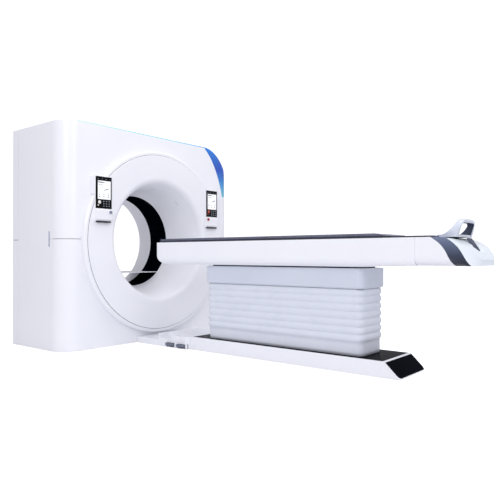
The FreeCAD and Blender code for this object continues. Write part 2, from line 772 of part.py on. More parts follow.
def rotor_and_bearing():
    """The rotating plate, its slip ring, both bearing races and the fixed ring behind."""
    front = d.rotor_back - d.rotor_wall
    back = d.rotor_back
    keep(ring_body("drum", [(front, d.rotor_inner), (back, d.rotor_inner),
                            (back, d.rotor_radius), (front, d.rotor_radius)]), "rotor_drum")
    keep(ring_body("slip", [(back, d.slip_inner), (back + d.slip_depth, d.slip_inner),
                            (back + d.slip_depth, d.slip_outer), (back, d.slip_outer)]),
         "slip_ring")
    inner = d.race_split - d.race_width
    keep(ring_body("race_in", [(back, inner), (back + d.race_depth, inner),
                               (back + d.race_depth, d.race_split), (back, d.race_split)]),
         "bearing_inner_race")
    split = d.race_split + d.running_gap
    start = back + d.race_start
    outer = d.race_split + d.race_width
    keep(ring_body("race_out", [(start, split), (back + d.race_depth, split),
                                (back + d.race_depth, outer), (start, outer)]),
         "bearing_outer_race")
    ring = ring_body("stator", [(start + 2, outer), (start + 2 + d.stator_wall, outer),
                                (start + 2 + d.stator_wall, d.stator_radius),
                                (start + 2, d.stator_radius)])
    legs = []
    for label, sign in SIDES:
        edge = sign * (d.race_split + d.race_width) * 0.45
        far_edge = sign * d.stator_radius * 0.85
        low_x, high_x = (edge, far_edge) if sign > 0 else (far_edge, edge)
        legs.append(box(f"leg_{label}", (low_x, start + 2, d.frame_high),
                        (high_x, start + 2 + d.stator_wall, d.iso_height - d.stator_radius / 2)))
    hollow = cylinder("leg_relief", (0, start, d.iso_height), outer, d.stator_wall + 10, "y")
    legs_cut = cut("legs_trimmed", fuse("legs", legs), hollow)
    keep(fuse("stator_and_legs", [ring, legs_cut]), "stator_ring")


def rotor_load():
    """Tube, collimator, detector and generator, all seated on the rotor plate."""
    front = d.rotor_back - d.rotor_wall
    top = d.iso_height + d.tube_offset
    keep(cylinder("tube_housing", (0, front - d.tube_length, top), d.tube_radius,
                  d.tube_length, "y"), "xray_tube")
    high = top - d.tube_radius - 0.1
    block_low = (-d.collimator_half, front - d.tube_length * 0.7, high - d.collimator_high)
    block_high = (d.collimator_half, front - d.tube_length * 0.2, high)
    keep(box("collimator_box", block_low, block_high), "collimator")
    keep(box("generator_box", (d.generator_x, front - d.generator_depth, d.iso_height
                               - d.generator_half_height),
             (d.generator_x + d.generator_width, front, d.iso_height
              + d.generator_half_height)), "hv_generator")
    keep(box("exchanger_box", (-d.generator_x - d.generator_width, front - d.generator_depth,
                               d.iso_height - d.generator_half_height),
             (-d.generator_x, front, d.iso_height + d.generator_half_height)), "heat_exchanger")
    weights = []
    for label, sign in SIDES:
        middle_x = sign * d.weight_offset
        middle_z = d.iso_height + d.weight_offset
        half = d.weight_size / 2
        weights.append(box(f"weight_{label}", (middle_x - half, front - d.weight_depth,
                                               middle_z - half),
                           (middle_x + half, front, middle_z + half)))
    keep(group("weights", weights), "balance_weights")
    near = n.rotor_back - n.rotor_wall - n.detector_depth
    ring = bore_cylinder(n.detector_outer, near, n.rotor_back - n.rotor_wall)
    ring = ring.cut(bore_cylinder(n.detector_inner, near - 1, n.rotor_back))
    reach = 2 * n.detector_outer
    spread = reach * math.tan(math.radians(n.detector_half_angle))
    wedge_wire = Part.makePolygon([V(0, near, n.iso_height), V(-spread, near, n.iso_height
                                                              - reach),
                                   V(spread, near, n.iso_height - reach),
                                   V(0, near, n.iso_height)])
    solid_node("detector_arc", ring.common(prism(wedge_wire, V(0, n.detector_depth, 0))))


def brush_block():
    """The fixed brush holder that faces the slip ring from an arm on the stator."""
    face = d.rotor_back + d.slip_depth + d.running_gap
    back = d.rotor_back + d.race_start + 2 + d.stator_wall
    arm_front = d.rotor_back + d.race_depth + 3
    low = d.iso_height - d.stator_radius + 20
    holder = box("brush_holder", (-60, face, d.iso_height - d.slip_outer),
                 (60, arm_front + 30, d.iso_height - d.slip_inner))
    arm = box("brush_arm", (-30, arm_front, low), (30, arm_front + 25, d.iso_height
                                                   - d.slip_inner))
    foot = box("brush_foot", (-30, back, low), (30, arm_front + 25, low + 60))
    keep(fuse("brush_assembly", [holder, arm, foot]), "brush_block")


def rotor_drive():
    """Motor on the frame, its pulley, and the belt round pulley and rotor."""
    back = d.rotor_back - d.rotor_wall - 10
    motor = cylinder("motor_can", (d.motor_x, back - d.motor_length, d.motor_height),
                     d.motor_radius, d.motor_length, "y")
    saddle = box("motor_saddle", (d.motor_x - 50, back - d.motor_length + 10, d.frame_high),
                 (d.motor_x + 50, back - 10, d.motor_height - d.motor_radius + 15))
    keep(fuse("motor_assembly", [motor, saddle]), "drive_motor")
    wheel = cylinder("pulley_wheel", (d.motor_x, back + 8, d.motor_height), d.pulley_radius,
                     d.rotor_wall + 4, "y")
    shaft = cylinder("pulley_shaft", (d.motor_x, back + d.running_gap, d.motor_height), 14,
                     d.rotor_wall, "y")
    keep(fuse("pulley_and_shaft", [wheel, shaft]), "motor_pulley")
    near = n.rotor_back - (n.rotor_wall + n.belt_width) / 2
    inner = belt_wire(n.running_gap, near)
    outer = belt_wire(n.running_gap + n.belt_wall, near)
    belt = prism(outer, V(0, n.belt_width, 0)).cut(prism(inner, V(0, n.belt_width, 0)))
    solid_node("drive_belt", belt)


def belt_wire(offset, y):
    """Two arcs and two straight runs round the rotor and the pulley, grown by offset."""
    big = n.rotor_radius + offset
    small = n.pulley_radius + offset
    hub = V(0, y, n.iso_height)
    axle = V(n.motor_x, y, n.motor_height)
    span = axle - hub
    lean = math.acos((big - small) / span.Length)
    heading = math.atan2(span.z, span.x)

    def rim(centre, radius, angle):
        return centre + V(radius * math.cos(angle), 0, radius * math.sin(angle))

    up = heading + lean
    down = heading - lean
    edges = [Part.Arc(rim(hub, big, up), rim(hub, big, heading + math.pi),
                      rim(hub, big, down)).toShape(),
             line(rim(hub, big, down), rim(axle, small, down)),
             Part.Arc(rim(axle, small, down), rim(axle, small, heading),
                      rim(axle, small, up)).toShape(),
             line(rim(axle, small, up), rim(hub, big, up))]
    return Part.Wire(Part.__sortEdges__(edges))


# --------------------------------------------------------------------------------- table base

def base_outline(inset):
    """Side view of the plinth, square at the gantry end and sloping at the far end."""
    low = n.floor_gap
    slope = n.base_far - n.base_flat_end
    fall = inset * slope / (n.base_height - low)
    return [(-n.base_near - inset, low), (-n.base_near - inset, n.base_height - inset),
            (-n.base_flat_end + inset * 0.4, n.base_height - inset),
            (-n.base_far + 0.4 * inset + fall, low)]


def base_solid():
    """The plinth's outside: side view and rounded plan combined."""
    half = n.base_half_width
    side = side_prism(base_outline(0), [0, 0, 14, 0], half)
    plan = plan_prism([(-half, -n.base_far), (half, -n.base_far), (half, -n.base_near),
                       (-half, -n.base_near)], [n.base_corner, n.base_corner, 0, 0], 0, 200)
    return side.common(plan)


def base_slope_frame():
    """Middle of the sloping end, its downhill direction and its outward normal."""
    top = V(0, -n.base_flat_end, n.base_height)
    foot = V(0, -n.base_far, n.floor_gap)
    down = (foot - top).normalize()
    return top, foot, down, V(0, down.z, -down.y)


def slope_plate(margin, depth, lift):
    """A rounded plate sunk in the sloping end."""
    top, foot, down, normal = base_slope_frame()
    half = n.base_half_width - margin
    first = top + down * margin
    last = foot - down * margin
    corners = [first + V(-half, 0, 0), first + V(half, 0, 0), last + V(half, 0, 0),
               last + V(-half, 0, 0)]
    lifted = [corner + normal * lift for corner in corners]
    wire = rounded_wire(lifted, [6, 6, n.base_corner - margin * 0.6, n.base_corner
                                 - margin * 0.6])
    return prism(wire, normal * (-depth - lift))


def column_hole(grow, low, high):
    half_x = n.carriage_half_width - 10 + grow
    half_y = n.carriage_half_length + 8 + grow
    middle = -n.column_centre
    return block((-half_x, middle - half_y, low), (half_x, middle + half_y, high))


def table_base():
    """The white plinth moulding, its black top plate and its black end plate."""
    _, _, _, normal = base_slope_frame()
    if normal.z < 0:
        raise ValueError("the sloping end must face up")
    inset = n.plate_inset
    half = n.base_half_width - inset
    wall = n.plate_wall
    top = n.base_height
    recess = block((-half, -n.base_flat_end + inset, top - wall), (half, -n.base_near
                                                                  - inset, top + 1))
    hollow_top = top - wall - n.base_wall
    hollow = block((-n.base_half_width + n.base_wall, -n.base_flat_end + 12, 0),
                   (n.base_half_width - n.base_wall, -n.base_near - n.base_wall, hollow_top))
    cover = base_solid().cut(recess).cut(hollow).cut(column_hole(0, 0, top + 1))
    cover = cover.cut(slope_plate(n.slope_margin, wall, 5))
    solid_node("base_cover", cover)
    gap = n.trim_fit
    plate = block((-half + gap, -n.base_flat_end + inset + gap, top - wall),
                  (half - gap, -n.base_near - inset - gap, top))
    solid_node("base_top_plate", plate.cut(column_hole(0, 0, top + 1)))
    solid_node("base_end_plate", slope_plate(n.slope_margin + gap, wall, 0))


def base_frame():
    """The steel base with two fixed masts and the lift actuator's tube."""
    top = d.base_height - d.plate_wall - d.base_wall
    middle = -d.column_centre
    half = d.base_frame_half
    reach = d.bellows_half_length + 90
    slab = box("base_slab", (-half, middle - reach, d.base_foot_height),
               (half, middle + reach, top))
    cavity = box("base_cavity", (-half + 50, middle - reach + 60, d.base_foot_height - 1),
                 (half - 50, middle + reach - 60, d.base_foot_height + 40))
    parts = [cut("base_tray", slab, cavity)]
    for name, sign in (("near", -1), ("far", 1)):
        y = middle + sign * d.mast_spread
        size = d.mast_size / 2
        outer = box(f"mast_{name}", (-size, y - size, top - 1), (size, y + size, d.mast_top))
        inside = size - d.mast_wall
        bore = box(f"mast_bore_{name}", (-inside, y - inside, top), (inside, y + inside,
                                                                    d.mast_top + 1))
        parts.append(cut(f"mast_tube_{name}", outer, bore))
    body = cylinder("actuator", (0, middle, top - 1), d.actuator_radius, d.mast_top - top)
    bore = cylinder("actuator_hole", (0, middle, top + 5), d.actuator_bore, d.mast_top)
    parts.append(cut("actuator_tube", body, bore))
    keep(fuse("base_weldment", parts), "base_frame")


def base_feet():
    """Six levelling feet under the base frame."""
    feet = []
    for index in range(3):
        y = -d.column_centre + (index - 1) * (d.bellows_half_length + 40)
        for label, sign in SIDES:
            x = sign * (d.base_frame_half - 25)
            feet.append(cylinder(f"base_foot_{label}_{index}", (x, y, 0), 24,
                                 d.base_foot_height))
    keep(group("base_levelling_feet", feet), "base_feet")


def lift_carriage():
    """The top plate of the lift with its two inner masts and the actuator's rod."""
    top = d.trough_low
    low = top - d.carriage_wall
    middle = -d.column_centre
    half = d.carriage_half_width
    reach = d.carriage_half_length
    parts = [box("carriage_plate", (-half, middle - reach, low), (half, middle + reach, top))]
    size = d.inner_mast_size / 2
    for name, sign in (("near", -1), ("far", 1)):
        y = middle + sign * d.mast_spread
        parts.append(box(f"inner_mast_{name}", (-size, y - size, d.inner_mast_low),
                         (size, y + size, low + 1)))
    parts.append(cylinder("lift_rod", (0, middle, d.inner_mast_low), d.rod_radius,
                          low - d.inner_mast_low + 1))
    keep(fuse("carriage_weldment", parts), "lift_carriage")


# ------------------------------------------------------------------- foot housing and pedals

def foot_housing():
    """The low white housing between gantry and plinth, with a recess and two pedal slots."""
    half = n.housing_half_width
    near = -n.gantry_front - 0.5
    far = -n.base_near + 0.5
    corner = n.housing_corner
    low_part = plan_prism([(-half, far), (half, far), (half, near), (-half, near)],
                          [corner, corner, 0, 0], n.floor_gap, n.housing_low_height)
    high_part = plan_prism([(-half, far), (half, far), (half, -n.housing_step),
                            (-half, -n.housing_step)], [corner] * 4,
                           n.floor_gap, n.housing_high)
    body = low_part.fuse(high_part).removeSplitter()
    recess_far = -n.recess_near - n.recess_length
    recess = plan_prism([(-half - 50, recess_far), (-n.recess_inset, recess_far),
                         (-n.recess_inset, -n.recess_near), (-half - 50, -n.recess_near)],
                        [0, 30, 30, 0], n.housing_high - n.recess_depth, 200)
    body = body.cut(recess)
    hollow = block((-half + 8, far + 8, 0), (half - 8, near - 8, n.housing_low_height - 10))
    first = -n.pedal_first + n.pedal_length / 2 + n.pedal_slot + 10
    last = -n.pedal_second - n.pedal_length / 2 - n.pedal_slot - 10
    block_end = -half + n.pedal_width * 0.55 + 10
    pedal_block = block((-half, last, 0), (block_end, first, n.housing_low_height))
    body = body.cut(hollow.cut(pedal_block))
    for y in (-n.pedal_first, -n.pedal_second):
        body = body.cut(pedal_slot(y))
    solid_node("foot_housing", body)


def pedal_slot(y):
    gap = n.pedal_slot
    half = n.pedal_length / 2 + gap
    low_x = -n.housing_half_width - 1
    return block((low_x, y - half, n.pedal_low - 14), (low_x + 1 + n.pedal_width * 0.55, y + half,
                                                     n.pedal_low + n.pedal_height + gap))


def pedals():
    """Two oval foot pedals, each on a pin across its inner end."""
    for label, y in (("foot_pedal_up", -n.pedal_first), ("foot_pedal_down", -n.pedal_second)):
        half = n.pedal_length / 2
        outer = -n.housing_half_width - n.pedal_width * 0.45
        inner = -n.housing_half_width + n.pedal_width * 0.55 - n.pedal_slot
        shape = plan_prism([(outer, y - half), (inner, y - half), (inner, y + half),
                            (outer, y + half)], [30, 4, 4, 30], n.pedal_low,
                           n.pedal_low + n.pedal_height)
        pin = Part.makeCylinder(n.pedal_pin, n.pedal_length + 2 * n.pedal_slot - 0.6,
                                V(pedal_pin_x(), y - half - n.pedal_slot + 0.3,
                                  n.pedal_low + n.pedal_height / 2), V(0, 1, 0))
        solid_node(label, shape.fuse(pin).removeSplitter())


def pedal_pin_x():
    return -n.housing_half_width + n.pedal_width * 0.55 - n.pedal_slot - 10


# ------------------------------------------------------------------------------------- column

def bellows_wire(z, grow):
    half_x = n.bellows_half_width + grow
    half_y = n.bellows_half_length + grow
    middle = -n.column_centre
    points = [V(-half_x, middle - half_y, z), V(half_x, middle - half_y, z),
              V(half_x, middle + half_y, z), V(-half_x, middle + half_y, z)]
    return rounded_wire(points, [n.bellows_corner + grow] * 4)


def bellows():
    """The folded cover: a tall foot collar, then pointed folds up to the column cover."""
    low = n.base_height
    start = low + n.bellows_collar
    pitch = (n.bellows_top - start) / n.bellows_folds
    wires = [bellows_wire(low, n.fold_depth), bellows_wire(low + 10, n.fold_depth)]
    for index in range(n_whole("bellows_folds")):
        base = start + index * pitch
        wires.append(bellows_wire(base, 0))
        wires.append(bellows_wire(base + pitch * 0.62, n.fold_depth))
    wires.append(bellows_wire(n.bellows_top, 0))
    outer = Part.makeLoft(wires, True, True)
    half_x = n.bellows_half_width - n.bellows_wall
    half_y = n.bellows_half_length - n.bellows_wall
    middle = -n.column_centre
    inner = plan_prism([(-half_x, middle - half_y), (half_x, middle - half_y),
                        (half_x, middle + half_y), (-half_x, middle + half_y)],
                       [n.bellows_corner - n.bellows_wall] * 4, low - 1, n.bellows_top + 1)
    solid_node("bellows", outer.cut(inner))


def column_cover():
    """The smooth skirt that hangs from the lift carriage over the bellows' top."""
    top = n.trough_low - n.carriage_wall
    low = n.bellows_top
    middle = -n.column_centre

    def shell(grow, z_low, z_high):
        half_x = n.column_half_width + grow
        half_y = n.column_half_length + grow
        radius = n.column_corner + grow
        return plan_prism([(-half_x, middle - half_y), (half_x, middle - half_y),
                           (half_x, middle + half_y), (-half_x, middle + half_y)],
                          [radius] * 4, z_low, z_high)

    outer = shell(0, low, top)
    rim = [edge for edge in outer.Edges if edge.BoundBox.ZMax < low + 0.01]
    outer = outer.makeChamfer(n.column_bevel, rim)
    hollow = shell(-n.column_bevel - 3, low - 1, top - n.cover_wall)
    hole = block((-n.carriage_half_width + 20, middle - n.carriage_half_length + 20, 0),
                 (n.carriage_half_width - 20, middle + n.carriage_half_length - 20, 900))
    seat = block((-n.carriage_half_width, middle - n.carriage_half_length, top),
                 (n.carriage_half_width, middle + n.carriage_half_length, 900))
    solid_node("column_cover", outer.cut(hollow).cut(hole).cut(seat))


# ---------------------------------------------------------------------------------- table top

def top_section(inset, low, near, far):
    """A length of the table top's rounded section."""
    half = n.top_half_width - inset
    high = n.trough_high + (1 if inset else 0)
    edge = n.trough_edge - inset
    return section_prism([(-half, low + inset), (half, low + inset), (half, high), (-half, high)],
                         [edge, edge, 0, 0], far, near)


def table_trough():
    """The white trough under the cradle, its bottom rising slightly towards the tail."""
    def solid(inset):
        low = n.trough_low + inset
        head = -n.trough_head - inset
        seam = -n.seam_y + (inset and -1)
        high = n.trough_high + (1 if inset else 0)
        bend = -n.column_centre - n.column_half_length
        side = side_prism([(head, low), (head, high), (seam, high),
                           (seam, n.tail_low + inset), (bend, low)],
                          [n.trough_head_radius - inset, 0, 0, 0, 0], n.top_half_width - inset)
        return side.common(top_section(inset, n.trough_low, -n.trough_head, -n.seam_y - 1))

    solid_node("table_trough", solid(0).cut(solid(n.trough_wall)))


def slide_rails():
    """Two tall rails on the trough's floor that carry the cradle."""
    low = d.trough_low + d.trough_wall
    rails = []
    for label, sign in SIDES:
        edges = (sign * d.rail_x, sign * (d.rail_x + d.rail_wall))
        low_x, high_x = edges if sign > 0 else (edges[1], edges[0])
        rails.append(box(f"rail_{label}", (low_x, -d.column_centre - d.column_half_length, low),
                         (high_x, -d.trough_head - d.trough_head_radius, d.trough_high)))
    keep(group("cradle_rails", rails), "slide_rails")


def tail_side(inset):
    """The tail in side view: level, then one long curve down to a small rounded foot."""
    low = n.tail_low + inset
    high = n.trough_high - inset
    near = -n.seam_y
    end = -n.tail_end + inset
    crest = V(0, -n.tail_crest, high)
    nose = V(0, end, n.tail_end_low)
    brow = V(0, -n.tail_brow + inset * 0.7, n.trough_high - n.tail_brow_drop - inset * 0.7)
    foot = min(n.tail_foot_radius, nose.z - low - 1)
    heel = V(0, end, low + foot)
    toe = V(0, end + foot, low)
    bend = V(0, end + foot * (1 - math.sqrt(0.5)), low + foot * (1 - math.sqrt(0.5)))
    edges = [line(V(0, near, high), crest), Part.Arc(crest, brow, nose).toShape(),
             line(nose, heel),
             Part.Arc(heel, bend, toe).toShape(), line(toe, V(0, near, low)),
             line(V(0, near, low), V(0, near, high))]
    return Part.Wire(Part.__sortEdges__(edges))


def corner_waste(centre, radius, reach, axis, length):
    """What rounding one edge takes away: a square bar less a round one, along an axis."""
    first, second = [step for index, step in enumerate((V(1, 0, 0), V(0, 1, 0), V(0, 0, 1)))
                     if index != axis]
    along_axis = V(*[float(index == axis) for index in range(3)])
    sign_a, sign_b = reach
    far_a = first * (sign_a * (radius + 9))
    far_b = second * (sign_b * (radius + 9))
    square = Part.makePolygon([centre, centre + far_a, centre + far_a + far_b, centre + far_b,
                               centre])
    bar = prism(square, along_axis * length)
    return bar.cut(Part.makeCylinder(radius, length + 2, centre - along_axis, along_axis))


def tail_solid(inset):
    """The tail's outside at an inset: its side view, rounded in plan and along its bottom."""
    half = n.top_half_width - inset
    wire = tail_side(inset)
    wire.translate(V(-half, 0, 0))
    body = prism(wire, V(2 * half, 0, 0))
    end = -n.tail_end + inset
    plan = n.tail_plan_radius - inset
    edge = n.trough_edge - inset
    for _, sign in SIDES:
        upright = V(sign * (half - plan), end + plan, n.tail_low - 10)
        body = body.cut(corner_waste(upright, plan, (sign, -1), 2, 300))
        level = V(sign * (half - edge), end - 10, n.tail_low + inset + edge)
        body = body.cut(corner_waste(level, edge, (sign, -1), 1, 400))
    return body


def s_curve(start):
    """One edge of the dark band in side view: flat at the top, steep below, flared at the foot."""
    high = n.trough_high
    deep = high - n.tail_low
    sweep = n.band_sweep
    shares = ((0.0, -0.06), (0.14, 0.03), (0.42, 0.22), (0.66, 0.50), (0.80, 0.76), (1.02, 1.04))
    points = [V(0, -start - sweep * across, high - deep * down) for across, down in shares]
    curve = Part.BSplineCurve()
    curve.interpolate(points)
    return curve, points


def tail_slice(first, last):
    """The side-view region between two S curves, as a prism across the table."""
    half = n.top_half_width + 20
    high = n.trough_high + 60
    low = n.tail_low - 60
    edges = []
    ends = []
    for start in (first, last):
        curve, points = s_curve(start)
        top = V(0, points[0].y, high)
        foot = V(0, points[-1].y, low)
        edges += [curve.toShape(), line(top, points[0]), line(points[-1], foot)]
        ends.append((top, foot))
    edges += [line(ends[0][0], ends[1][0]), line(ends[0][1], ends[1][1])]
    wire = Part.Wire(Part.__sortEdges__(edges))
    wire.translate(V(-half, 0, 0))
    return prism(wire, V(2 * half, 0, 0))


def tail_notch(grow):
    """The flared notch in the tail's end, open outwards above a small ledge."""
    top = V(0, -n.notch_top + grow, n.trough_high)
    foot = V(0, -n.notch_foot + grow, n.trough_high - n.notch_drop)
    low = foot.z - grow
    half = n.tongue_half_width + grow
    flare = half + n.notch_flare
    high = n.trough_high + grow
    bowl = section_prism([(-half, low), (half, low), (flare, high), (-flare, high)], [0] * 4,
                         -n.tail_end - 100, top.y + 100)
    slope = (foot - top).normalize()
    start = top - slope * 60
    wire = Part.makePolygon([start, top + slope * 400, V(0, -n.tail_end - 300, low - 300),
                             V(0, -n.tail_end - 300, start.z), start])
    wire.translate(V(-flare - 1, 0, 0))
    return bowl.common(prism(wire, V(2 * flare + 2, 0, 0)))


def tongue_solid(grow):
    """The dark plate sunk into the notch's sloping floor."""
    top = V(0, -n.notch_top, n.trough_high)
    foot = V(0, -n.notch_foot, n.trough_high - n.notch_drop)
    slope = (foot - top).normalize()
    normal = V(0, slope.z, -slope.y)
    half = n.tongue_half_width - n.ledge + grow
    first = top + slope * (n.ledge - grow)
    last = foot - slope * (n.ledge - grow)
    corners = [first + V(-half, 0, 0), first + V(half, 0, 0), last + V(half, 0, 0),
               last + V(-half, 0, 0)]
    if normal.y > 0:
        normal = -normal
    lift = n.tongue_wall if grow else 0
    wire = rounded_wire([corner + normal * lift for corner in corners], [4, 4, 22, 22])
    return prism(wire, normal * (-n.tongue_wall - grow - lift))


def tail_pieces():
    """The tail's white cover, slate band and pale end cap, cut from one hollow form."""
    outer = tail_solid(0).cut(tail_notch(0))
    shell = outer.cut(tail_solid(n.trough_wall).cut(tail_notch(n.trough_wall + n.tongue_wall)))
    gap = n.cover_seam
    start = n.band_start
    end = n.band_start + n.band_width
    near = -n.seam_y - gap
    shell = shell.common(region(y=(-4000, near)))
    tongue = tongue_solid(n.trim_fit)
    solid_node("tail_cover", shell.common(tail_slice(n.seam_y - 400, start)))
    solid_node("tail_band", shell.common(tail_slice(start + gap, end)).cut(tongue))
    solid_node("tail_cap", shell.common(tail_slice(end + gap, n.tail_end + 400)).cut(tongue))
    solid_node("tail_tongue", tongue_solid(0))


# -------------------------------------------------------------------- cradle, pad, grab handle

def cradle_board():
    """The thin sliding board that carries the patient into the bore."""
    half = d.board_half_width
    low = d.board_low
    slab = box("board_slab", (-half, -d.board_end, low), (half, -d.trough_head - 2, low
                                                          + d.board_wall))
    rounded = fillet("board_rounded", slab, 40, lambda edge: along(edge, 2))
    keep(rounded, "cradle_board")


def mattress_pad():
    """The soft pad as a plain closed solid, its foot end slanted."""
    low = n.board_low + n.board_wall + n.pad_gap
    high = low + n.pad_wall
    near = -n.trough_head - 6
    far = -n.pad_end
    solid_node("mattress_pad", side_prism([(near, low), (near, high), (far + n.pad_slant, high),
                                           (far, low + 6), (far, low)], [0, 8, 0, 0, 0],
                                          n.pad_half_width))


def grab_handle():
    """The arched handle across the cradle's foot end, its legs flared towards the gantry."""
    low = n.board_low + n.board_wall
    front = -n.handle_front
    rear = -n.handle_rear
    top = n.handle_top
    lean = n.handle_lean
    rise = top - low
    foot_top = V(0, front, low)
    middle = V(0, front - 88, low + rise * 0.50)
    crown = V(0, rear - lean + n.handle_depth, top - 2)
    sweep = Part.Arc(foot_top, middle, crown).toShape()
    tip = V(0, rear - lean + 8, top)
    back = V(0, rear - lean, top - 12)
    foot_back = V(0, rear, low)
    edges = [sweep, line(crown, tip), line(tip, back), line(back, foot_back),
             line(foot_back, foot_top)]
    side = Part.Wire(Part.__sortEdges__(edges))
    side.translate(V(-n.handle_half_width, 0, 0))
    fin = prism(side, V(2 * n.handle_half_width, 0, 0))
    outer_half = n.handle_half_width
    inner_half = outer_half - n.handle_wall
    corner = n.handle_corner
    outer = section_prism([(-outer_half, low), (outer_half, low), (outer_half, top),
                           (-outer_half, top)], [0, 0, corner, corner], rear - 100, front + 10)
    inner_top = top - n.bar_height
    bend = corner - n.handle_wall
    thin_half = inner_half + n.handle_taper
    hole = section_prism([(-thin_half, low - 1), (thin_half, low - 1), (thin_half, inner_top),
                          (-thin_half, inner_top)], [0, 0, bend, bend], rear - 110, front + 20)
    hole = hole.common(plan_prism([(-inner_half, rear - 110), (inner_half, rear - 110),
                                   (inner_half, rear), (thin_half, front), (thin_half, front + 20),
                                   (-thin_half, front + 20), (-thin_half, front),
                                   (-inner_half, rear)], [0] * 8, low - 1, top + 1))
    foot = block((-outer_half, rear, low), (outer_half, front, low + 7))
    heel_low = n.trough_high + 2 * n.trim_fit
    heel = block((-outer_half, rear, heel_low), (outer_half, -n.board_end - n.trim_fit, low + 7))
    arch = fin.common(outer).cut(hole).fuse([foot, heel]).removeSplitter()
    solid_node("grab_handle", arch)


# -------------------------------------------------------------------------------- build it all

def build():
    front_covers()
    accent_band()
    side_and_top_covers()
    rear_covers()
    side_grips()
    vent_grilles()
    front_disc_and_lasers()
    disc_trim_ring()
    bore_window()
    rear_funnel()
    bore_floor()
    control_panels()
    gantry_frame()
    gantry_feet()
    rotor_and_bearing()
    rotor_load()
    brush_block()
    rotor_drive()
    table_base()
    base_frame()
    base_feet()
    foot_housing()
    pedals()
    bellows()
    column_cover()
    lift_carriage()
    table_trough()
    slide_rails()
    tail_pieces()
    cradle_board()
    mattress_pad()
    grab_handle()


def export():
    """Check every object, then write each node's STEP file."""
    doc.recompute()
    for obj in doc.Objects:
        if "Invalid" in obj.State or "Error" in obj.State:
            raise RuntimeError(f"{obj.Name} failed: {obj.State}")
    os.makedirs("parts", exist_ok=True)
    for obj in nodes:
        if obj.Shape.isNull() or not obj.Shape.isValid():
            raise RuntimeError(f"{obj.Label} has no valid shape")
        if not obj.Shape.Solids:
            raise RuntimeError(f"{obj.Label} has no solid")
    for obj in nodes:
        obj.Shape.exportStep(f"parts/{obj.Label}.step")
        print(obj.Label, len(obj.Shape.Solids), round(obj.Shape.Volume / 1e6, 3), "litres")


build()
export()
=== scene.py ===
# %% [markdown]
# # A computed tomography scanner and its patient table
# The gantry, the table and every moving part come ready as a fixed frame. This lesson loads that
# frame, gives each surface a finish, and makes the soft and fine pieces that a solid model lacks:
# the mattress, the folded skirt, the touch screens' graphics, screws, piping, and dark strips of
# painted shade under the trays, in the cover seams and round the disc.

# %% Load the frame
import json
import math

import bmesh
import bpy
from mathutils import Matrix, Vector
from mathutils.bvhtree import BVHTree


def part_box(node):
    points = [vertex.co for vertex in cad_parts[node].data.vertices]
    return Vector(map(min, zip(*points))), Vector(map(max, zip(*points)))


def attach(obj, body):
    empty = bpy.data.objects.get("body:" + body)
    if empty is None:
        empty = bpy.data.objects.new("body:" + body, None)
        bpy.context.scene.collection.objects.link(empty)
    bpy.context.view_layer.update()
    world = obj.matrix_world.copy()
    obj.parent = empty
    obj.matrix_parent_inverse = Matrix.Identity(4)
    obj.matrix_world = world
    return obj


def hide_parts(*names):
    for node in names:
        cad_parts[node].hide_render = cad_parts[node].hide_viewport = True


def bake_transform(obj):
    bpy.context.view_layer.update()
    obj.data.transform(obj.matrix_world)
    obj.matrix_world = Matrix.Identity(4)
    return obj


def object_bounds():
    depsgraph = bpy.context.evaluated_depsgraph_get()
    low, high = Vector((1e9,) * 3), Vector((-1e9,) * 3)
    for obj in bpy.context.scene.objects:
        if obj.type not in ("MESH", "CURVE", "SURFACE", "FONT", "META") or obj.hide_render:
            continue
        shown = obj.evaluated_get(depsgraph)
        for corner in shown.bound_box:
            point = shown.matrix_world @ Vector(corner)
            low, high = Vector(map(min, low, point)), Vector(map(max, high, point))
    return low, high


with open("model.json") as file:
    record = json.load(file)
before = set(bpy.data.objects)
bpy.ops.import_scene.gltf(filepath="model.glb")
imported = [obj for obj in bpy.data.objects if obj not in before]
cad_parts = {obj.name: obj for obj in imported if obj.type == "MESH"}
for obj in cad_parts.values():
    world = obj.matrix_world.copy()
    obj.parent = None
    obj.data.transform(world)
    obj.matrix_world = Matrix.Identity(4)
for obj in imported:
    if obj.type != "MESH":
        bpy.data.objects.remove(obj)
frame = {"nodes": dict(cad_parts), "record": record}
CAD_BOX = [list(corner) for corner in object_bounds()]
NODES = frame["nodes"]
print("pieces in the frame:", len(NODES), "box:", [[round(v, 3) for v in c] for c in CAD_BOX])

# %% [markdown]
# ## Helpers
# Colours are given as sRGB hex, and Blender mixes light in linear values, so one function
# converts them. Another adds a node, with its settings and its links in one line, to a material
# or to a Geometry Nodes tree.

# %% Colour and node helpers
MM = 0.001


def linear(code):
    """An sRGB hex colour as linear red, green, blue and alpha."""
    parts = [int(code[i:i + 2], 16) / 255 for i in (1, 3, 5)]
    return tuple(p / 12.92 if p <= 0.04045 else ((p + 0.055) / 1.055) ** 2.4 for p in parts) + (1,)


def add(tree, kind, inputs=None, **settings):
    """A node with its settings; an input is a value or the socket that feeds it."""
    node = tree.nodes.new(kind)
    for key, value in settings.items():
        setattr(node, key, value)
    for key, value in (inputs or {}).items():
        if isinstance(value, bpy.types.NodeSocket):
            tree.links.new(value, node.inputs[key])
        else:
            node.inputs[key].default_value = value
    return node


print("white paint in linear light:", [round(v, 3) for v in linear("#f2f3f8")])

# %% [markdown]
# ## A finish
# Every real surface varies in two ways: broad, faint patches from moulding or handling, and a fine
# grain that catches the light. `finish` makes both from noise, sized in millimetres, and returns
# the parts, so that a special finish can replace its colour or its grain.

# %% The general finish


def ramp(tree, factor, *stops):
    """A colour ramp from (place, hex colour) stops."""
    node = add(tree, "ShaderNodeValToRGB", {"Fac": factor})
    while len(node.color_ramp.elements) < len(stops):
        node.color_ramp.elements.new(0.5)
    for element, (place, code) in zip(node.color_ramp.elements, stops):
        element.position = place
        element.color = linear(code)
    return node.outputs["Color"]


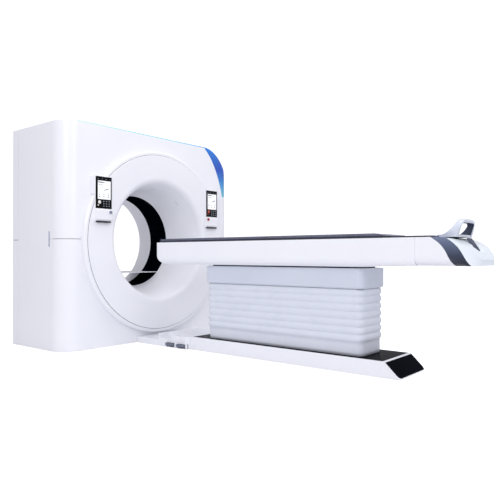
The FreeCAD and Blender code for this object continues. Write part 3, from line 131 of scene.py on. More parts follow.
def finish(name, light, dark, rough, grain_mm, depth_mm, patch_mm=220, stretch=(1, 1, 1), **shader):
    """A finish with broad patches between two colours and a fine bumped grain."""
    material = bpy.data.materials.new(name)
    material.use_nodes = True
    tree = material.node_tree
    surface = tree.nodes["Principled BSDF"]
    place = add(tree, "ShaderNodeTexCoord").outputs["Object"]
    lay = add(tree, "ShaderNodeMapping", {"Vector": place, "Scale": stretch}).outputs["Vector"]
    patch = add(tree, "ShaderNodeTexNoise",
                {"Vector": place, "Scale": 1 / (patch_mm * MM), "Detail": 3.0}).outputs["Fac"]
    grain = add(tree, "ShaderNodeTexNoise",
                {"Vector": lay, "Scale": 1 / (grain_mm * MM), "Detail": 2.0}).outputs["Fac"]
    colour = ramp(tree, patch, (0.30, dark), (0.70, light))
    gloss = add(tree, "ShaderNodeMapRange", {"Value": patch, "From Min": 0.3, "From Max": 0.7,
                                             "To Min": rough * 1.15, "To Max": rough * 0.85})
    bump = add(tree, "ShaderNodeBump", {"Height": grain, "Distance": depth_mm * MM,
                                        "Strength": 0.5})
    tree.links.new(colour, surface.inputs["Base Color"])
    tree.links.new(gloss.outputs["Result"], surface.inputs["Roughness"])
    tree.links.new(bump.outputs["Normal"], surface.inputs["Normal"])
    for key, value in shader.items():
        surface.inputs[key.replace("_", " ")].default_value = value
    return material, {"tree": tree, "surface": surface, "place": place, "patch": patch,
                      "bump": bump}


FINISH = {}
print("a finish has a colour, a gloss and a grain, all from noise in millimetres")

# %% [markdown]
# ## Painted covers
# The big covers are moulded polyurethane foam with a satin two-part enamel. Such paint is never
# quite flat: it has a faint orange peel, about 4 mm across, that softens the edges of reflections.
# The tail is the same paint with a trace more blue.

# %% Painted covers
FINISH["cover_white"], _ = finish("satin_white_enamel", "#f3f4f9", "#f0f1f7", 0.34, 4, 0.004,
                                  patch_mm=500, Coat_Weight=0.2, Coat_Roughness=0.16)
FINISH["tail_pale"], _ = finish("pale_blue_enamel", "#f0f6fc", "#e8f2fa", 0.34, 4, 0.004,
                                Coat_Weight=0.2, Coat_Roughness=0.16)
print("painted finishes:", sorted(FINISH))

# %% [markdown]
# ## The blue sweep
# A band of translucent film follows the front cover's upper edge. It is pale mint at the left,
# turns deep blue on the right-hand corner and fades to teal as it comes down the side. One value,
# the way along the band, drives a colour ramp, so the sweep has no seams.

# %% The blue sweep
material, parts = finish("printed_film", "#bfede5", "#9bdff0", 0.22, 3, 0.01, Coat_Weight=0.5)
tree = parts["tree"]
xyz = add(tree, "ShaderNodeSeparateXYZ", {"Vector": parts["place"]})
BAND_LEFT, BAND_RIGHT, BAND_TOP, BAND_DROP = -0.85, 1.0, 1.9, 0.57
fall = add(tree, "ShaderNodeMath", {0: BAND_TOP, 1: xyz.outputs["Z"]}, operation="SUBTRACT")
along = add(tree, "ShaderNodeMath", {0: xyz.outputs["X"], 1: fall.outputs["Value"]},
            operation="ADD")
share = add(tree, "ShaderNodeMapRange", {"Value": along.outputs["Value"], "From Min": BAND_LEFT,
                                         "From Max": BAND_RIGHT + BAND_DROP})
sweep = ramp(tree, share.outputs["Result"], (0.0, "#c9f0e8"), (0.45, "#8fdcf0"),
             (0.66, "#1f8fe0"), (0.76, "#0047b8"), (0.90, "#0b63c4"), (1.0, "#5fb8cf"))
tree.links.new(sweep, parts["surface"].inputs["Base Color"])
FINISH["accent_blue"] = material
print("sweep runs from", BAND_LEFT, "to", BAND_RIGHT, "m")

# %% [markdown]
# At the right-hand corner the film widens onto the front cover as a crescent. Its inner edge is a
# part of an ellipse inside the corner's own ellipse, so the crescent is nothing at both ends and
# widest half way. A mask worked out from X and Z lays the film's colours over the cover's paint.

# %% The crescent at the corner
material, parts = finish("enamel_with_corner_film", "#f3f4f9", "#f0f1f7", 0.34, 4, 0.004,
                         patch_mm=500, Coat_Weight=0.2, Coat_Roughness=0.16)
tree = parts["tree"]
xyz = add(tree, "ShaderNodeSeparateXYZ", {"Vector": parts["place"]})
CORNER_X, CORNER_Z, CORNER_WIDE, CORNER_TALL, CRESCENT = 0.635, 1.408, 0.262, 0.472, 0.40
reach = [add(tree, "ShaderNodeMapRange", {"Value": xyz.outputs[axis], "From Min": middle,
                                          "From Max": middle + size, "To Max": 1.0}, clamp=False)
         for axis, middle, size in (("X", CORNER_X, CORNER_WIDE), ("Z", CORNER_Z, CORNER_TALL))]
across, up = [add(tree, "ShaderNodeMath", {0: one.outputs["Result"], 1: 0.0},
                  operation="MAXIMUM").outputs["Value"] for one in reach]
both = add(tree, "ShaderNodeMath", {0: across, 1: up}, operation="MULTIPLY").outputs["Value"]
square_x = add(tree, "ShaderNodeMath", {0: across, 1: across}, operation="MULTIPLY")
square_sum = add(tree, "ShaderNodeMath", {0: up, 1: up, 2: square_x.outputs["Value"]},
                 operation="MULTIPLY_ADD")
lift = add(tree, "ShaderNodeMath", {0: both, 1: 2 * CRESCENT, 2: square_sum.outputs["Value"]},
           operation="MULTIPLY_ADD")
mask = add(tree, "ShaderNodeMapRange", {"Value": lift.outputs["Value"], "From Min": 0.995,
                                        "From Max": 1.010})
inside = add(tree, "ShaderNodeMath", {0: both, 1: 0.002}, operation="GREATER_THAN")
shown = add(tree, "ShaderNodeMath", {0: mask.outputs["Result"], 1: inside.outputs["Value"]},
            operation="MULTIPLY")
paint = ramp(tree, parts["patch"], (0.3, "#f0f1f7"), (0.7, "#f3f4f9"))
film = ramp(tree, up, (0.0, "#6fc3d8"), (0.35, "#1f7fd0"), (0.6, "#0047b8"), (1.0, "#1678d8"))
laid = add(tree, "ShaderNodeMix", {0: shown.outputs["Value"], 6: paint, 7: film},
           data_type="RGBA")
tree.links.new(laid.outputs[2], parts["surface"].inputs["Base Color"])
FINISH["cover_with_corner"] = material
print("crescent centre", CORNER_X, CORNER_Z)

# %% [markdown]
# ## Dark plastics and glass
# The ring that the beam passes through is smoked polycarbonate, the screens are black cover glass,
# and the base plates are piano-black acrylic. They are all smooth, so what tells them apart is the
# tint and how sharp the reflection is. The scan light's windows are frosted. The column's cover is
# the covers' white enamel made a cooler grey, which is painted shade for the table top's shadow.

# %% Dark plastics and glass
FINISH["window_black"], _ = finish("smoked_polycarbonate", "#05060e", "#020308", 0.4, 2, 0.002,
                                   Specular_IOR_Level=0.0)
FINISH["screen_glass"], _ = finish("black_cover_glass", "#06070b", "#020306", 0.12, 2, 0.001,
                                   Specular_IOR_Level=0.15)
FINISH["base_black"], _ = finish("piano_black_acrylic", "#03050f", "#01020a", 0.2, 3, 0.002,
                                 Specular_IOR_Level=0.004)
# The column cover's cooler grey is painted shade for the table top's shadow.
FINISH["column_enamel"], _ = finish("white_enamel_with_painted_shade", "#d3d8e5", "#ced4e2", 0.34, 4, 0.004,
                                    patch_mm=300, Coat_Weight=0.2, Coat_Roughness=0.16)
FINISH["dark_lining"], _ = finish("dark_soft_touch_lining", "#3b4460", "#2c344e", 0.5, 1.2, 0.02,
                                  patch_mm=60, Specular_IOR_Level=0.2)
FINISH["laser_glass"], _ = finish("frosted_acrylic", "#c4c9d8", "#b4bacb", 0.45, 1, 0.01)
print("dark finishes added, in all:", len(FINISH))

# %% [markdown]
# ## The slate band
# The band round the tail is slate metallic paint. Its colour runs from blue-grey at its top to near
# black at its foot, which is painted shade for light from above. Height drives the ramp. A little
# metal in the shader gives the broad, dull sheen.

# %% The slate band
material, parts = finish("slate_paint_with_painted_shade", "#4a5670", "#3c465e", 0.34, 1.5, 0.01,
                         Coat_Weight=0.35, Metallic=0.25)
tree = parts["tree"]
xyz = add(tree, "ShaderNodeSeparateXYZ", {"Vector": parts["place"]})
BAND_LO, BAND_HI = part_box("tail_band")
depth = add(tree, "ShaderNodeMapRange", {"Value": xyz.outputs["Z"], "From Min": BAND_LO[2],
                                         "From Max": BAND_HI[2]})
# The ramp darkens the band towards its foot: painted shade.
shade = ramp(tree, depth.outputs["Result"], (0.0, "#141826"), (0.35, "#333b52"),
             (0.75, "#5c6885"), (1.0, "#77829e"))
tree.links.new(shade, parts["surface"].inputs["Base Color"])
FINISH["slate"] = material
print("slate band from", round(BAND_LO[2], 3), "to", round(BAND_HI[2], 3), "m high")

# %% [markdown]
# ## Moulded rubber and plastic fittings
# Grips, feet, pedals and buttons are moulded in tools with a spark-eroded texture, about a
# millimetre coarse, which scatters light and hides finger marks.

# %% Rubber and plastic fittings
for slot, name, light, dark, rough, grain, depth in (
        ("grip_grey", "soft_touch_elastomer", "#d3d7e2", "#c6cbd8", 0.55, 1.2, 0.03),
        ("button_grey", "grey_acetal", "#8b91a0", "#7c8292", 0.32, 1.0, 0.01),
        ("button_red", "red_acetal", "#b5202b", "#9d1722", 0.30, 1.0, 0.01),
        ("belt_rubber", "neoprene", "#191a1d", "#121316", 0.70, 1.0, 0.05),
        ("foot_rubber", "black_rubber", "#1d1e22", "#141518", 0.75, 1.2, 0.05),
        ("pedal_grey", "ribbed_grey_rubber", "#737a8b", "#646b7c", 0.60, 1.0, 0.04)):
    FINISH[slot], _ = finish(name, light, dark, rough, grain, depth, patch_mm=40)
print("fittings added, in all:", len(FINISH))

# %% [markdown]
# ## Metals
# The steel frame is powder-coated, with a coarse grain. Turned rings keep the tool's fine lathe
# marks, so their grain is stretched. Rails are extruded, with drawing lines along their length,
# which here is Y.

# %% Metals
for slot, name, light, dark, rough, grain, depth, metal, stretch in (
        ("frame_steel", "powder_coated_steel", "#474d5a", "#3b404c", 0.50, 1.5, 0.05, 0.2, (1, 1, 1)),
        ("machined_steel", "turned_steel", "#b9bcc2", "#a4a8af", 0.30, 1.0, 0.01, 1.0, (0.1, 1, 0.1)),
        ("cast_aluminium", "sand_cast_aluminium", "#a9adb4", "#959aa2", 0.52, 1.8, 0.08, 0.9,
         (1, 1, 1)),
        ("tube_metal", "painted_tube_housing", "#8d94a3", "#7d8494", 0.38, 1.5, 0.02, 0.3,
         (1, 1, 1)),
        ("copper_ring", "copper_track", "#c98a5c", "#b0734a", 0.28, 0.8, 0.01, 1.0, (0.1, 1, 0.1)),
        ("rail_aluminium", "anodised_aluminium", "#c3c7cf", "#b2b7c0", 0.34, 0.8, 0.01, 0.9,
         (1, 0.03, 1))):
    FINISH[slot], _ = finish(name, light, dark, rough, grain, depth, patch_mm=90, stretch=stretch,
                             Metallic=metal)
print("metals added, in all:", len(FINISH))

# %% [markdown]
# ## The cradle board
# The board under the patient is a carbon shell, so that the beam passes through it. Its cloth is a
# 2/2 twill with tows about 2 mm wide, drawn here at 6 mm so that it shows. Two crossed waves make
# the over-and-under of the weave, under a clear lacquer.

# %% Carbon weave
material, parts = finish("lacquered_carbon_twill", "#1b2036", "#12162a", 0.30, 2, 0.01,
                         Coat_Weight=0.7, Coat_Roughness=0.08)
tree = parts["tree"]
TOW, FULL_WAVE = 6 * MM, 6.28
WEAVE = 1 / (TOW * FULL_WAVE)
warp = add(tree, "ShaderNodeTexWave", {"Vector": parts["place"], "Scale": WEAVE},
           wave_type="BANDS", bands_direction="DIAGONAL")
weft = add(tree, "ShaderNodeTexWave", {"Vector": parts["place"], "Scale": WEAVE},
           wave_type="BANDS", bands_direction="X")
weave = add(tree, "ShaderNodeMath", {0: warp.outputs["Fac"], 1: weft.outputs["Fac"]},
            operation="MULTIPLY")
tow = ramp(tree, weave.outputs["Value"], (0.0, "#10142a"), (1.0, "#2a3150"))
tree.links.new(tow, parts["surface"].inputs["Base Color"])
tree.links.new(weave.outputs["Value"], parts["bump"].inputs["Height"])
parts["bump"].inputs["Distance"].default_value = 0.05 * MM
FINISH["carbon_board"] = material
print("tow width", TOW / MM, "mm")

# %% [markdown]
# ## Vinyl
# The mattress cover and the skirt are coated cloth, embossed like leather. Voronoi cells a few
# millimetres across, raised between sunken lines, read as that emboss. The skirt is the same cloth
# in a pale colour, with a softer grain, because it is stretched over its folds.

# %% Embossed vinyl


def vinyl(name, light, dark, rough, cell_mm, depth_mm, **shader):
    """Leather-embossed coated cloth: Voronoi cells with sunken lines between them."""
    made, bits = finish(name, light, dark, rough, cell_mm, depth_mm, patch_mm=120, **shader)
    cells = add(bits["tree"], "ShaderNodeTexVoronoi",
                {"Vector": bits["place"], "Scale": 1 / (cell_mm * MM)}, feature="DISTANCE_TO_EDGE")
    lines = add(bits["tree"], "ShaderNodeMapRange",
                {"Value": cells.outputs["Distance"], "From Min": 0.0, "From Max": 0.25})
    bits["tree"].links.new(lines.outputs["Result"], bits["bump"].inputs["Height"])
    return made


FINISH["pad_vinyl"] = vinyl("embossed_grey_vinyl", "#6c7087", "#5e6279", 0.48, 3.5, 0.12,
                            Sheen_Weight=0.15)
FINISH["bellows_vinyl"] = vinyl("pale_coated_cloth", "#dce0eb", "#d8dce8", 0.5, 3, 0.01,
                                Sheen_Weight=0.1)
PIPING = vinyl("dark_vinyl_piping", "#23253a", "#1b1d30", 0.40, 2.5, 0.04)
THREAD, _ = finish("polyester_thread", "#4c4a63", "#3f3d55", 0.65, 0.6, 0.05, patch_mm=20)
print("vinyls made, finishes in all:", len(FINISH))

# %% [markdown]
# ## The handle
# The grab handle is pale on its outside, and its inner faces and underside are lined with dark
# soft plastic. The lining follows the way a face looks: faces that look down, or towards the
# handle's own middle, are lined. The surface normal tells which they are.

# %% The lined handle
material, parts = finish("two_tone_handle_moulding", "#d9dfeb", "#ccd3e1", 0.36, 1.5, 0.02,
                         patch_mm=60, Coat_Weight=0.15)
tree = parts["tree"]
xyz = add(tree, "ShaderNodeSeparateXYZ", {"Vector": parts["place"]})
facing = add(tree, "ShaderNodeSeparateXYZ",
             {"Vector": add(tree, "ShaderNodeNewGeometry").outputs["Normal"]})
side = add(tree, "ShaderNodeMath", {0: xyz.outputs["X"]}, operation="SIGN")
inward = add(tree, "ShaderNodeMath", {0: side.outputs["Value"], 1: facing.outputs["X"]},
             operation="MULTIPLY")
lined_side = add(tree, "ShaderNodeMath", {0: inward.outputs["Value"], 1: -0.35},
                 operation="LESS_THAN")
lined_under = add(tree, "ShaderNodeMath", {0: facing.outputs["Z"], 1: -0.35},
                  operation="LESS_THAN")
lined = add(tree, "ShaderNodeMath", {0: lined_side.outputs["Value"],
                                     1: lined_under.outputs["Value"]}, operation="MAXIMUM")
pale = ramp(tree, parts["patch"], (0.3, "#ccd3e1"), (0.7, "#dde3ee"))
lining = ramp(tree, parts["patch"], (0.3, "#2c3248"), (0.7, "#3b425c"))
both = add(tree, "ShaderNodeMix", {0: lined.outputs["Value"], 6: pale, 7: lining},
           data_type="RGBA")
tree.links.new(both.outputs[2], parts["surface"].inputs["Base Color"])
FINISH["handle_grey"] = material
print("handle finish ready")

# %% [markdown]
# ## Give each part its finish
# The record names each part's finish. The material goes into the object's own slot, and the mesh
# is left as it is.

# %% Assign the finishes
FINISH_OF = {part["node"]: part["material_slot"] for part in frame["record"]["subparts"]}
missing = sorted({slot for slot in FINISH_OF.values() if slot not in FINISH})
for node, part in NODES.items():
    for holder in part.material_slots:
        holder.link = "OBJECT"
        holder.material = FINISH.get(FINISH_OF[node], FINISH["cover_white"])
# The column cover's darker enamel is painted shade.
for node, name in (("tail_tongue", "dark_lining"), ("column_cover", "column_enamel"),
                   ("front_cover_upper", "cover_with_corner")):
    NODES[node].material_slots[0].material = FINISH[name]
print("parts finished:", len(NODES), "finishes without a recipe:", missing)

# %% [markdown]
# ## Pieces of our own
# Each new piece is one mesh at the origin, with its place in its vertices, and it rides on the
# body that it is fixed to. Thin plates are rounded rectangles given a thickness; they are closed,
# so they look right from every side.

# %% Piece helpers


def piece(name, mesh, material, body, smooth=True):
    """One finished mesh as an object that rides on a body."""
    obj = bpy.data.objects.new(name, mesh)
    bpy.context.collection.objects.link(obj)
    mesh.materials.clear()
    mesh.materials.append(material)
    for face in mesh.polygons:
        face.material_index = 0
        face.use_smooth = smooth
    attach(obj, body)
    return obj


def rounded(width, height, radius, steps=5):
    """The outline of a rounded rectangle, anticlockwise, about its own middle."""
    points = []
    for corner in range(4):
        turn = corner * math.pi / 2
        sx, sy = ((1, 1), (-1, 1), (-1, -1), (1, -1))[corner]
        for step in range(steps + 1):
            angle = turn + step * math.pi / 2 / steps
            points.append((sx * (width / 2 - radius) + radius * math.cos(angle),
                           sy * (height / 2 - radius) + radius * math.sin(angle)))
    return points


def slab(bm, outline, place, depth):
    """A closed plate in the XZ plane, facing -Y, from its outline about a place."""
    front = [bm.verts.new((place[0] + x, place[1], place[2] + z)) for x, z in outline]
    back = [bm.verts.new((place[0] + x, place[1] + depth, place[2] + z)) for x, z in outline]
    bm.faces.new(front)
    bm.faces.new(back[::-1])
    count = len(outline)
    for i in range(count):
        j = (i + 1) % count
        bm.faces.new((front[j], front[i], back[i], back[j]))


def mesh_of(bm, name):
    """The bmesh as a mesh with its faces turned outward."""
    bmesh.ops.recalc_face_normals(bm, faces=bm.faces)
    mesh = bpy.data.meshes.new(name)
    bm.to_mesh(mesh)
    bm.free()
    return mesh


def geometry_tree(name, *inputs):
    """An empty Geometry Nodes tree with named inputs, and its two end nodes."""
    tree = bpy.data.node_groups.new(name, "GeometryNodeTree")
    tree.interface.new_socket("Geometry", in_out="INPUT", socket_type="NodeSocketGeometry")
    for label, kind in inputs:
        tree.interface.new_socket(label, in_out="INPUT", socket_type="NodeSocket" + kind)
    tree.interface.new_socket("Geometry", in_out="OUTPUT", socket_type="NodeSocketGeometry")
    return tree, add(tree, "NodeGroupInput"), add(tree, "NodeGroupOutput")


def end_tree(tree, given, result, geometry):
    """Realize the instances, give the material and join the result to the output."""
    real = add(tree, "GeometryNodeRealizeInstances", {"Geometry": geometry})
    dressed = add(tree, "GeometryNodeSetMaterial", {"Geometry": real.outputs["Geometry"],
                                                    "Material": given.outputs["Material"]})
    tree.links.new(dressed.outputs["Geometry"], result.inputs["Geometry"])


def grow(name, source, tree, material, body, smooth=True, **values):
    """Run a tree on a mesh and keep the result as one plain piece."""
    holder = bpy.data.objects.new(name + "_holder", source)
    bpy.context.collection.objects.link(holder)
    modifier = holder.modifiers.new("grow", "NODES")
    modifier.node_group = tree
    values["Material"] = material
    for item in tree.interface.items_tree:
        if item.in_out == "INPUT" and item.name in values:
            modifier[item.identifier] = values[item.name]
    graph = bpy.context.evaluated_depsgraph_get()
    mesh = bpy.data.meshes.new_from_object(holder.evaluated_get(graph), depsgraph=graph)
    bpy.data.objects.remove(holder)
    made = piece(name, mesh, material, body, smooth)
    print(name, len(mesh.polygons), "faces")
    return made


def points_mesh(name, points, outward):
    """Loose points, each with the direction that it faces."""
    mesh = bpy.data.meshes.new(name)
    mesh.from_pydata([tuple(p) for p in points], [], [])
    facing = mesh.attributes.new("outward", "FLOAT_VECTOR", "POINT")
    for item, way in zip(facing.data, outward):
        item.vector = way
    return mesh


print("helpers ready")

# %% [markdown]
# ## Trees for what repeats
# `scatter` copies one small object to every point and turns its Z to face outward: screws and
# screen tiles.

# %% The scatter tree
SCATTER, given, result = geometry_tree("scatter", ("Copy", "Object"), ("Material", "Material"))
copy = add(SCATTER, "GeometryNodeObjectInfo", {"Object": given.outputs["Copy"]})
outward = add(SCATTER, "GeometryNodeInputNamedAttribute", {"Name": "outward"},
              data_type="FLOAT_VECTOR")
turn = add(SCATTER, "FunctionNodeAlignRotationToVector",
           {"Vector": outward.outputs["Attribute"]}, axis="Z")
laid = add(SCATTER, "GeometryNodeInstanceOnPoints",
           {"Points": given.outputs["Geometry"], "Instance": copy.outputs["Geometry"],
            "Rotation": turn.outputs["Rotation"]})
end_tree(SCATTER, given, result, laid.outputs["Instances"])
print(SCATTER.name, len(SCATTER.nodes), "nodes")

# %% [markdown]
# `stitch` walks along a line and lays one copy at each step, turned along the line. Thread and the
# ribs of a pedal are both laid this way.

# %% The stitch tree
STITCH, given, result = geometry_tree("stitch", ("Copy", "Object"), ("Step", "Float"),
                                      ("Material", "Material"))
line = add(STITCH, "GeometryNodeMeshToCurve", {"Mesh": given.outputs["Geometry"]})
steps = add(STITCH, "GeometryNodeResampleCurve",
            {"Curve": line.outputs["Curve"], "Length": given.outputs["Step"]}, mode="LENGTH")
way = add(STITCH, "GeometryNodeInputTangent")
turn = add(STITCH, "FunctionNodeAlignRotationToVector", {"Vector": way.outputs["Tangent"]},
           axis="X")
copy = add(STITCH, "GeometryNodeObjectInfo", {"Object": given.outputs["Copy"]})
laid = add(STITCH, "GeometryNodeInstanceOnPoints",
           {"Points": steps.outputs["Curve"], "Instance": copy.outputs["Geometry"],
            "Rotation": turn.outputs["Rotation"]})
end_tree(STITCH, given, result, laid.outputs["Instances"])
print(STITCH.name, len(STITCH.nodes), "nodes")

# %% [markdown]
# `welt` finds the sharp edges of a mesh and runs a round tube along them, which is how piping sits
# on a seam. Ten sides are enough for a tube this thin.

# %% The welt tree
TUBE_SIDES = 10
WELT, given, result = geometry_tree("welt", ("Angle", "Float"), ("Radius", "Float"),
                                    ("Material", "Material"))
bend = add(WELT, "GeometryNodeInputMeshEdgeAngle")
sharp = add(WELT, "FunctionNodeCompare", {"A": bend.outputs["Unsigned Angle"],
                                          "B": given.outputs["Angle"]}, operation="GREATER_THAN")
seam = add(WELT, "GeometryNodeMeshToCurve", {"Mesh": given.outputs["Geometry"],
                                             "Selection": sharp.outputs["Result"]})
ring = add(WELT, "GeometryNodeCurvePrimitiveCircle", {"Resolution": TUBE_SIDES,
                                                      "Radius": given.outputs["Radius"]})
tube = add(WELT, "GeometryNodeCurveToMesh",
           {"Curve": seam.outputs["Curve"], "Profile Curve": ring.outputs["Curve"],
            "Fill Caps": True})
end_tree(WELT, given, result, tube.outputs["Mesh"])
print(WELT.name, len(WELT.nodes), "nodes")

# %% [markdown]
# ## The folded skirt
# The column is hidden by a skirt of coated cloth with seven soft folds above a plain collar. The
# real skirt stretches as the table rises; here it is our own mesh, in place of the solid one, and
# it rides on no body. Many fine rings let it bend smoothly; each fold is a rounded wave, a little
# rounder outside than inside.

# %% The folded skirt
low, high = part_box("bellows")
COLLAR, FOLDS, RINGS = 92 * MM, 7, 20
SKIRT_CORNER, SKIRT_WALL, SKIRT_HEM, BELLY = 52 * MM, 2 * MM, 9 * MM, 0.7
middle_y = (low[1] + high[1]) / 2
half_x, half_y = (high[0] - low[0]) / 2, (high[1] - low[1]) / 2
FOLD_DEPTH = 9 * MM
heights = [low[2] + COLLAR * i / 4 for i in range(4)]
heights += [low[2] + COLLAR + (high[2] - low[2] - COLLAR) * i / (FOLDS * RINGS)
            for i in range(FOLDS * RINGS + 1)]
skirt = bmesh.new()
rings = []
for height in heights:
    phase = max(0.0, (height - low[2] - COLLAR) / (high[2] - low[2] - COLLAR)) * FOLDS
    wave = abs(math.sin(math.pi * phase)) ** BELLY
    inset = FOLD_DEPTH * (1 - wave) if phase > 0 else FOLD_DEPTH
    outline = rounded(2 * (half_x - inset), 2 * (half_y - inset), SKIRT_CORNER, steps=8)
    rings.append([skirt.verts.new((x, middle_y + y, height)) for x, y in outline])
for first, second in zip(rings, rings[1:]):
    for i in range(len(first)):
        j = (i + 1) % len(first)
        skirt.faces.new((first[i], first[j], second[j], second[i]))
skirt_obj = piece("folded_skirt", mesh_of(skirt, "folded_skirt"), FINISH["bellows_vinyl"], "base")
wall = skirt_obj.modifiers.new("wall", "SOLIDIFY")
wall.thickness = SKIRT_WALL
wall.offset = -1
graph = bpy.context.evaluated_depsgraph_get()
thick = bpy.data.meshes.new_from_object(skirt_obj.evaluated_get(graph), depsgraph=graph)
skirt_obj.modifiers.clear()
skirt_obj.data = thick
skirt_obj.parent = None
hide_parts("bellows")
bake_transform(skirt_obj)
print("skirt faces:", len(thick.polygons), "height", round(high[2] - low[2], 3), "m")

# %% [markdown]
# ## The mattress
# The mattress is a thin foam pad in a sealed vinyl cover that follows the hollow of the board. It
# is copied from the solid, drawn in a little, remeshed into even small faces, and inflated as
# cloth with a low pressure, so its faces crown and its edges soften. How far any point moves is
# capped. The piping and the stitched line come after, because the remesh would swallow them.

# %% Inflate the mattress
DRAW_IN, VOXEL = 1.2 * MM, 6 * MM
low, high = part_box("mattress_pad")
pad = bmesh.new()
pad.from_mesh(NODES["mattress_pad"].data)
bmesh.ops.remove_doubles(pad, verts=pad.verts, dist=0.02 * MM)
bmesh.ops.recalc_face_normals(pad, faces=pad.faces)
clean = bpy.data.meshes.new("pad_outline")
pad.to_mesh(clean)
pad.free()
SEAM_OUTLINE = clean.copy()
pad_obj = bpy.data.objects.new("mattress", clean)
bpy.context.collection.objects.link(pad_obj)
shrink = pad_obj.modifiers.new("draw_in", "DISPLACE")
shrink.strength = -DRAW_IN
shrink.mid_level = 0.0
remesh = pad_obj.modifiers.new("even", "REMESH")
remesh.mode = "VOXEL"
remesh.voxel_size = VOXEL
graph = bpy.context.evaluated_depsgraph_get()
even = bpy.data.meshes.new_from_object(pad_obj.evaluated_get(graph), depsgraph=graph)
pad_obj.modifiers.clear()
pad_obj.data = even
before = [v.co.copy() for v in even.vertices]
print("mattress points:", len(before))
CAP, PRESSURE, FRAMES = 3 * MM, 4.0, 20
cloth = pad_obj.modifiers.new("air", "CLOTH")
cloth.settings.use_pressure = True
cloth.settings.uniform_pressure_force = PRESSURE
cloth.settings.effector_weights.gravity = 0
cloth.settings.quality = 4
cloth.point_cache.frame_start, cloth.point_cache.frame_end = 1, FRAMES
for step in range(1, FRAMES + 1):
    bpy.context.scene.frame_set(step)
graph = bpy.context.evaluated_depsgraph_get()
swollen = bpy.data.meshes.new_from_object(pad_obj.evaluated_get(graph), depsgraph=graph)
pad_obj.modifiers.clear()
bpy.context.scene.frame_set(1)
for vertex, rest in zip(swollen.vertices, before):
    move = vertex.co - rest
    if move.length > CAP:
        vertex.co = rest + move.normalized() * CAP
    vertex.co.z = max(vertex.co.z, low[2] + 0.5 * MM)
pad_obj.data = swollen
for face in pad_obj.data.polygons:
    face.use_smooth = True
pad_obj.data.materials.clear()
pad_obj.data.materials.append(FINISH["pad_vinyl"])
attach(pad_obj, "cradle")
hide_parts("mattress_pad")
print("mattress faces:", len(pad_obj.data.polygons))

# %% [markdown]
# ## Piping and stitches
# A sealed vinyl cover is joined at its rim, and the joint is finished with piping. The sharp edges
# of the pad's own outline are where the rim runs, so `welt` puts a thin tube along them. A row of
# lock stitches, 8 mm long, runs inside the rim; rays cast down onto the mattress find its surface.

# %% Piping and stitches
PIPING_RADIUS, STITCH_STEP, SEAM_INSET, SAMPLE_STEP = 1.8 * MM, 8 * MM, 14 * MM, 12 * MM
welt_obj = grow("mattress_piping", SEAM_OUTLINE, WELT, PIPING, "cradle",
                Angle=math.radians(40), Radius=PIPING_RADIUS)
tree_of_pad = BVHTree.FromPolygons([v.co.copy() for v in pad_obj.data.vertices],
                                   [tuple(f.vertices) for f in pad_obj.data.polygons])
seam_line = bpy.data.meshes.new("seam_line")
run = []
near_x, near_y = low[0] + SEAM_INSET, low[1] + SEAM_INSET
far_x, far_y = high[0] - SEAM_INSET, high[1] - SEAM_INSET
corners = [(near_x, near_y), (far_x, near_y), (far_x, far_y), (near_x, far_y)]
for (x0, y0), (x1, y1) in zip(corners, corners[1:] + corners[:1]):
    count = int(math.hypot(x1 - x0, y1 - y0) / SAMPLE_STEP)
    for i in range(count):
        x, y = x0 + (x1 - x0) * i / count, y0 + (y1 - y0) * i / count
        spot = tree_of_pad.ray_cast(Vector((x, y, high[2] + 0.1)), Vector((0, 0, -1)))[0]
        if spot:
            run.append((x, y, spot.z + 0.3 * MM))
seam_line.from_pydata(run, [(i, (i + 1) % len(run)) for i in range(len(run))], [])
bar = bmesh.new()
bmesh.ops.create_uvsphere(bar, u_segments=8, v_segments=4, radius=1)
bmesh.ops.scale(bar, vec=(2.8 * MM, 0.55 * MM, 0.55 * MM), verts=bar.verts)
thread = bpy.data.objects.new("stitch_form", mesh_of(bar, "stitch_form"))
bpy.context.collection.objects.link(thread)
stitches = grow("mattress_stitches", seam_line, STITCH, THREAD, "cradle", Copy=thread,
                Step=STITCH_STEP)
bpy.data.objects.remove(thread)

# %% [markdown]
# ## The touch screens
# Each screen shows plain working graphics: a bright field with a few dark lines of no meaning, an
# outline of a couch, a row of keys on a dark field, and one round key. They glow, so the finish
# is an emitting one with a soft variation, and each shape is a thin inlaid plate.

# %% Screen finishes


def lit(name, light, dark, glow):
    """A glowing display colour with a faint unevenness, as a lit panel has."""
    made, bits = finish(name, light, dark, 0.2, 0.8, 0.001, patch_mm=60, Emission_Strength=glow)
    colour = ramp(bits["tree"], bits["patch"], (0.3, dark), (0.7, light))
    bits["tree"].links.new(colour, bits["surface"].inputs["Emission Color"])
    return made


FIELD = lit("lit_display_field", "#f4f5f7", "#e9ebee", 0.25)
MARKS = lit("display_marks", "#2b2f36", "#22262c", 0.0)
KEYS = lit("display_keys", "#9aa0a8", "#7d838c", 0.25)
ROUND_GREY = lit("display_round_key", "#d9d6d2", "#c3c0bd", 0.3)
ROUND_RED = lit("display_round_key_red", "#b0483a", "#8e3228", 0.3)
# A black finish for the dark strips of painted shade under the trays, in the cover seams and round the
# disc.
SHADE_BLACK, _ = finish("black_painted_shade", "#0c0e16", "#07080e", 0.5, 1.2, 0.02, patch_mm=30)
print("screen finishes ready")

# %% Screen graphics
KEY_SIZE, KEY_DEPTH, INLAY, MARK_DEPTH = 11 * MM, 0.3 * MM, 0.4 * MM, 0.15 * MM


def plates(name, shapes, material, y, thick=INLAY):
    """Rounded plates (x, z, width, height, radius) side by side as one piece on the gantry."""
    bm = bmesh.new()
    for x, z, width, height, radius in shapes:
        slab(bm, rounded(width, height, radius), (x, y - thick, z), thick)
    return piece(name, mesh_of(bm, name), material, "base", smooth=False)


def spot(box, across, down):
    """A place on a screen, x and z, from shares of its width and height."""
    (left, _, foot), (right, _, top) = box
    return left + (right - left) * across, top - (top - foot) * down


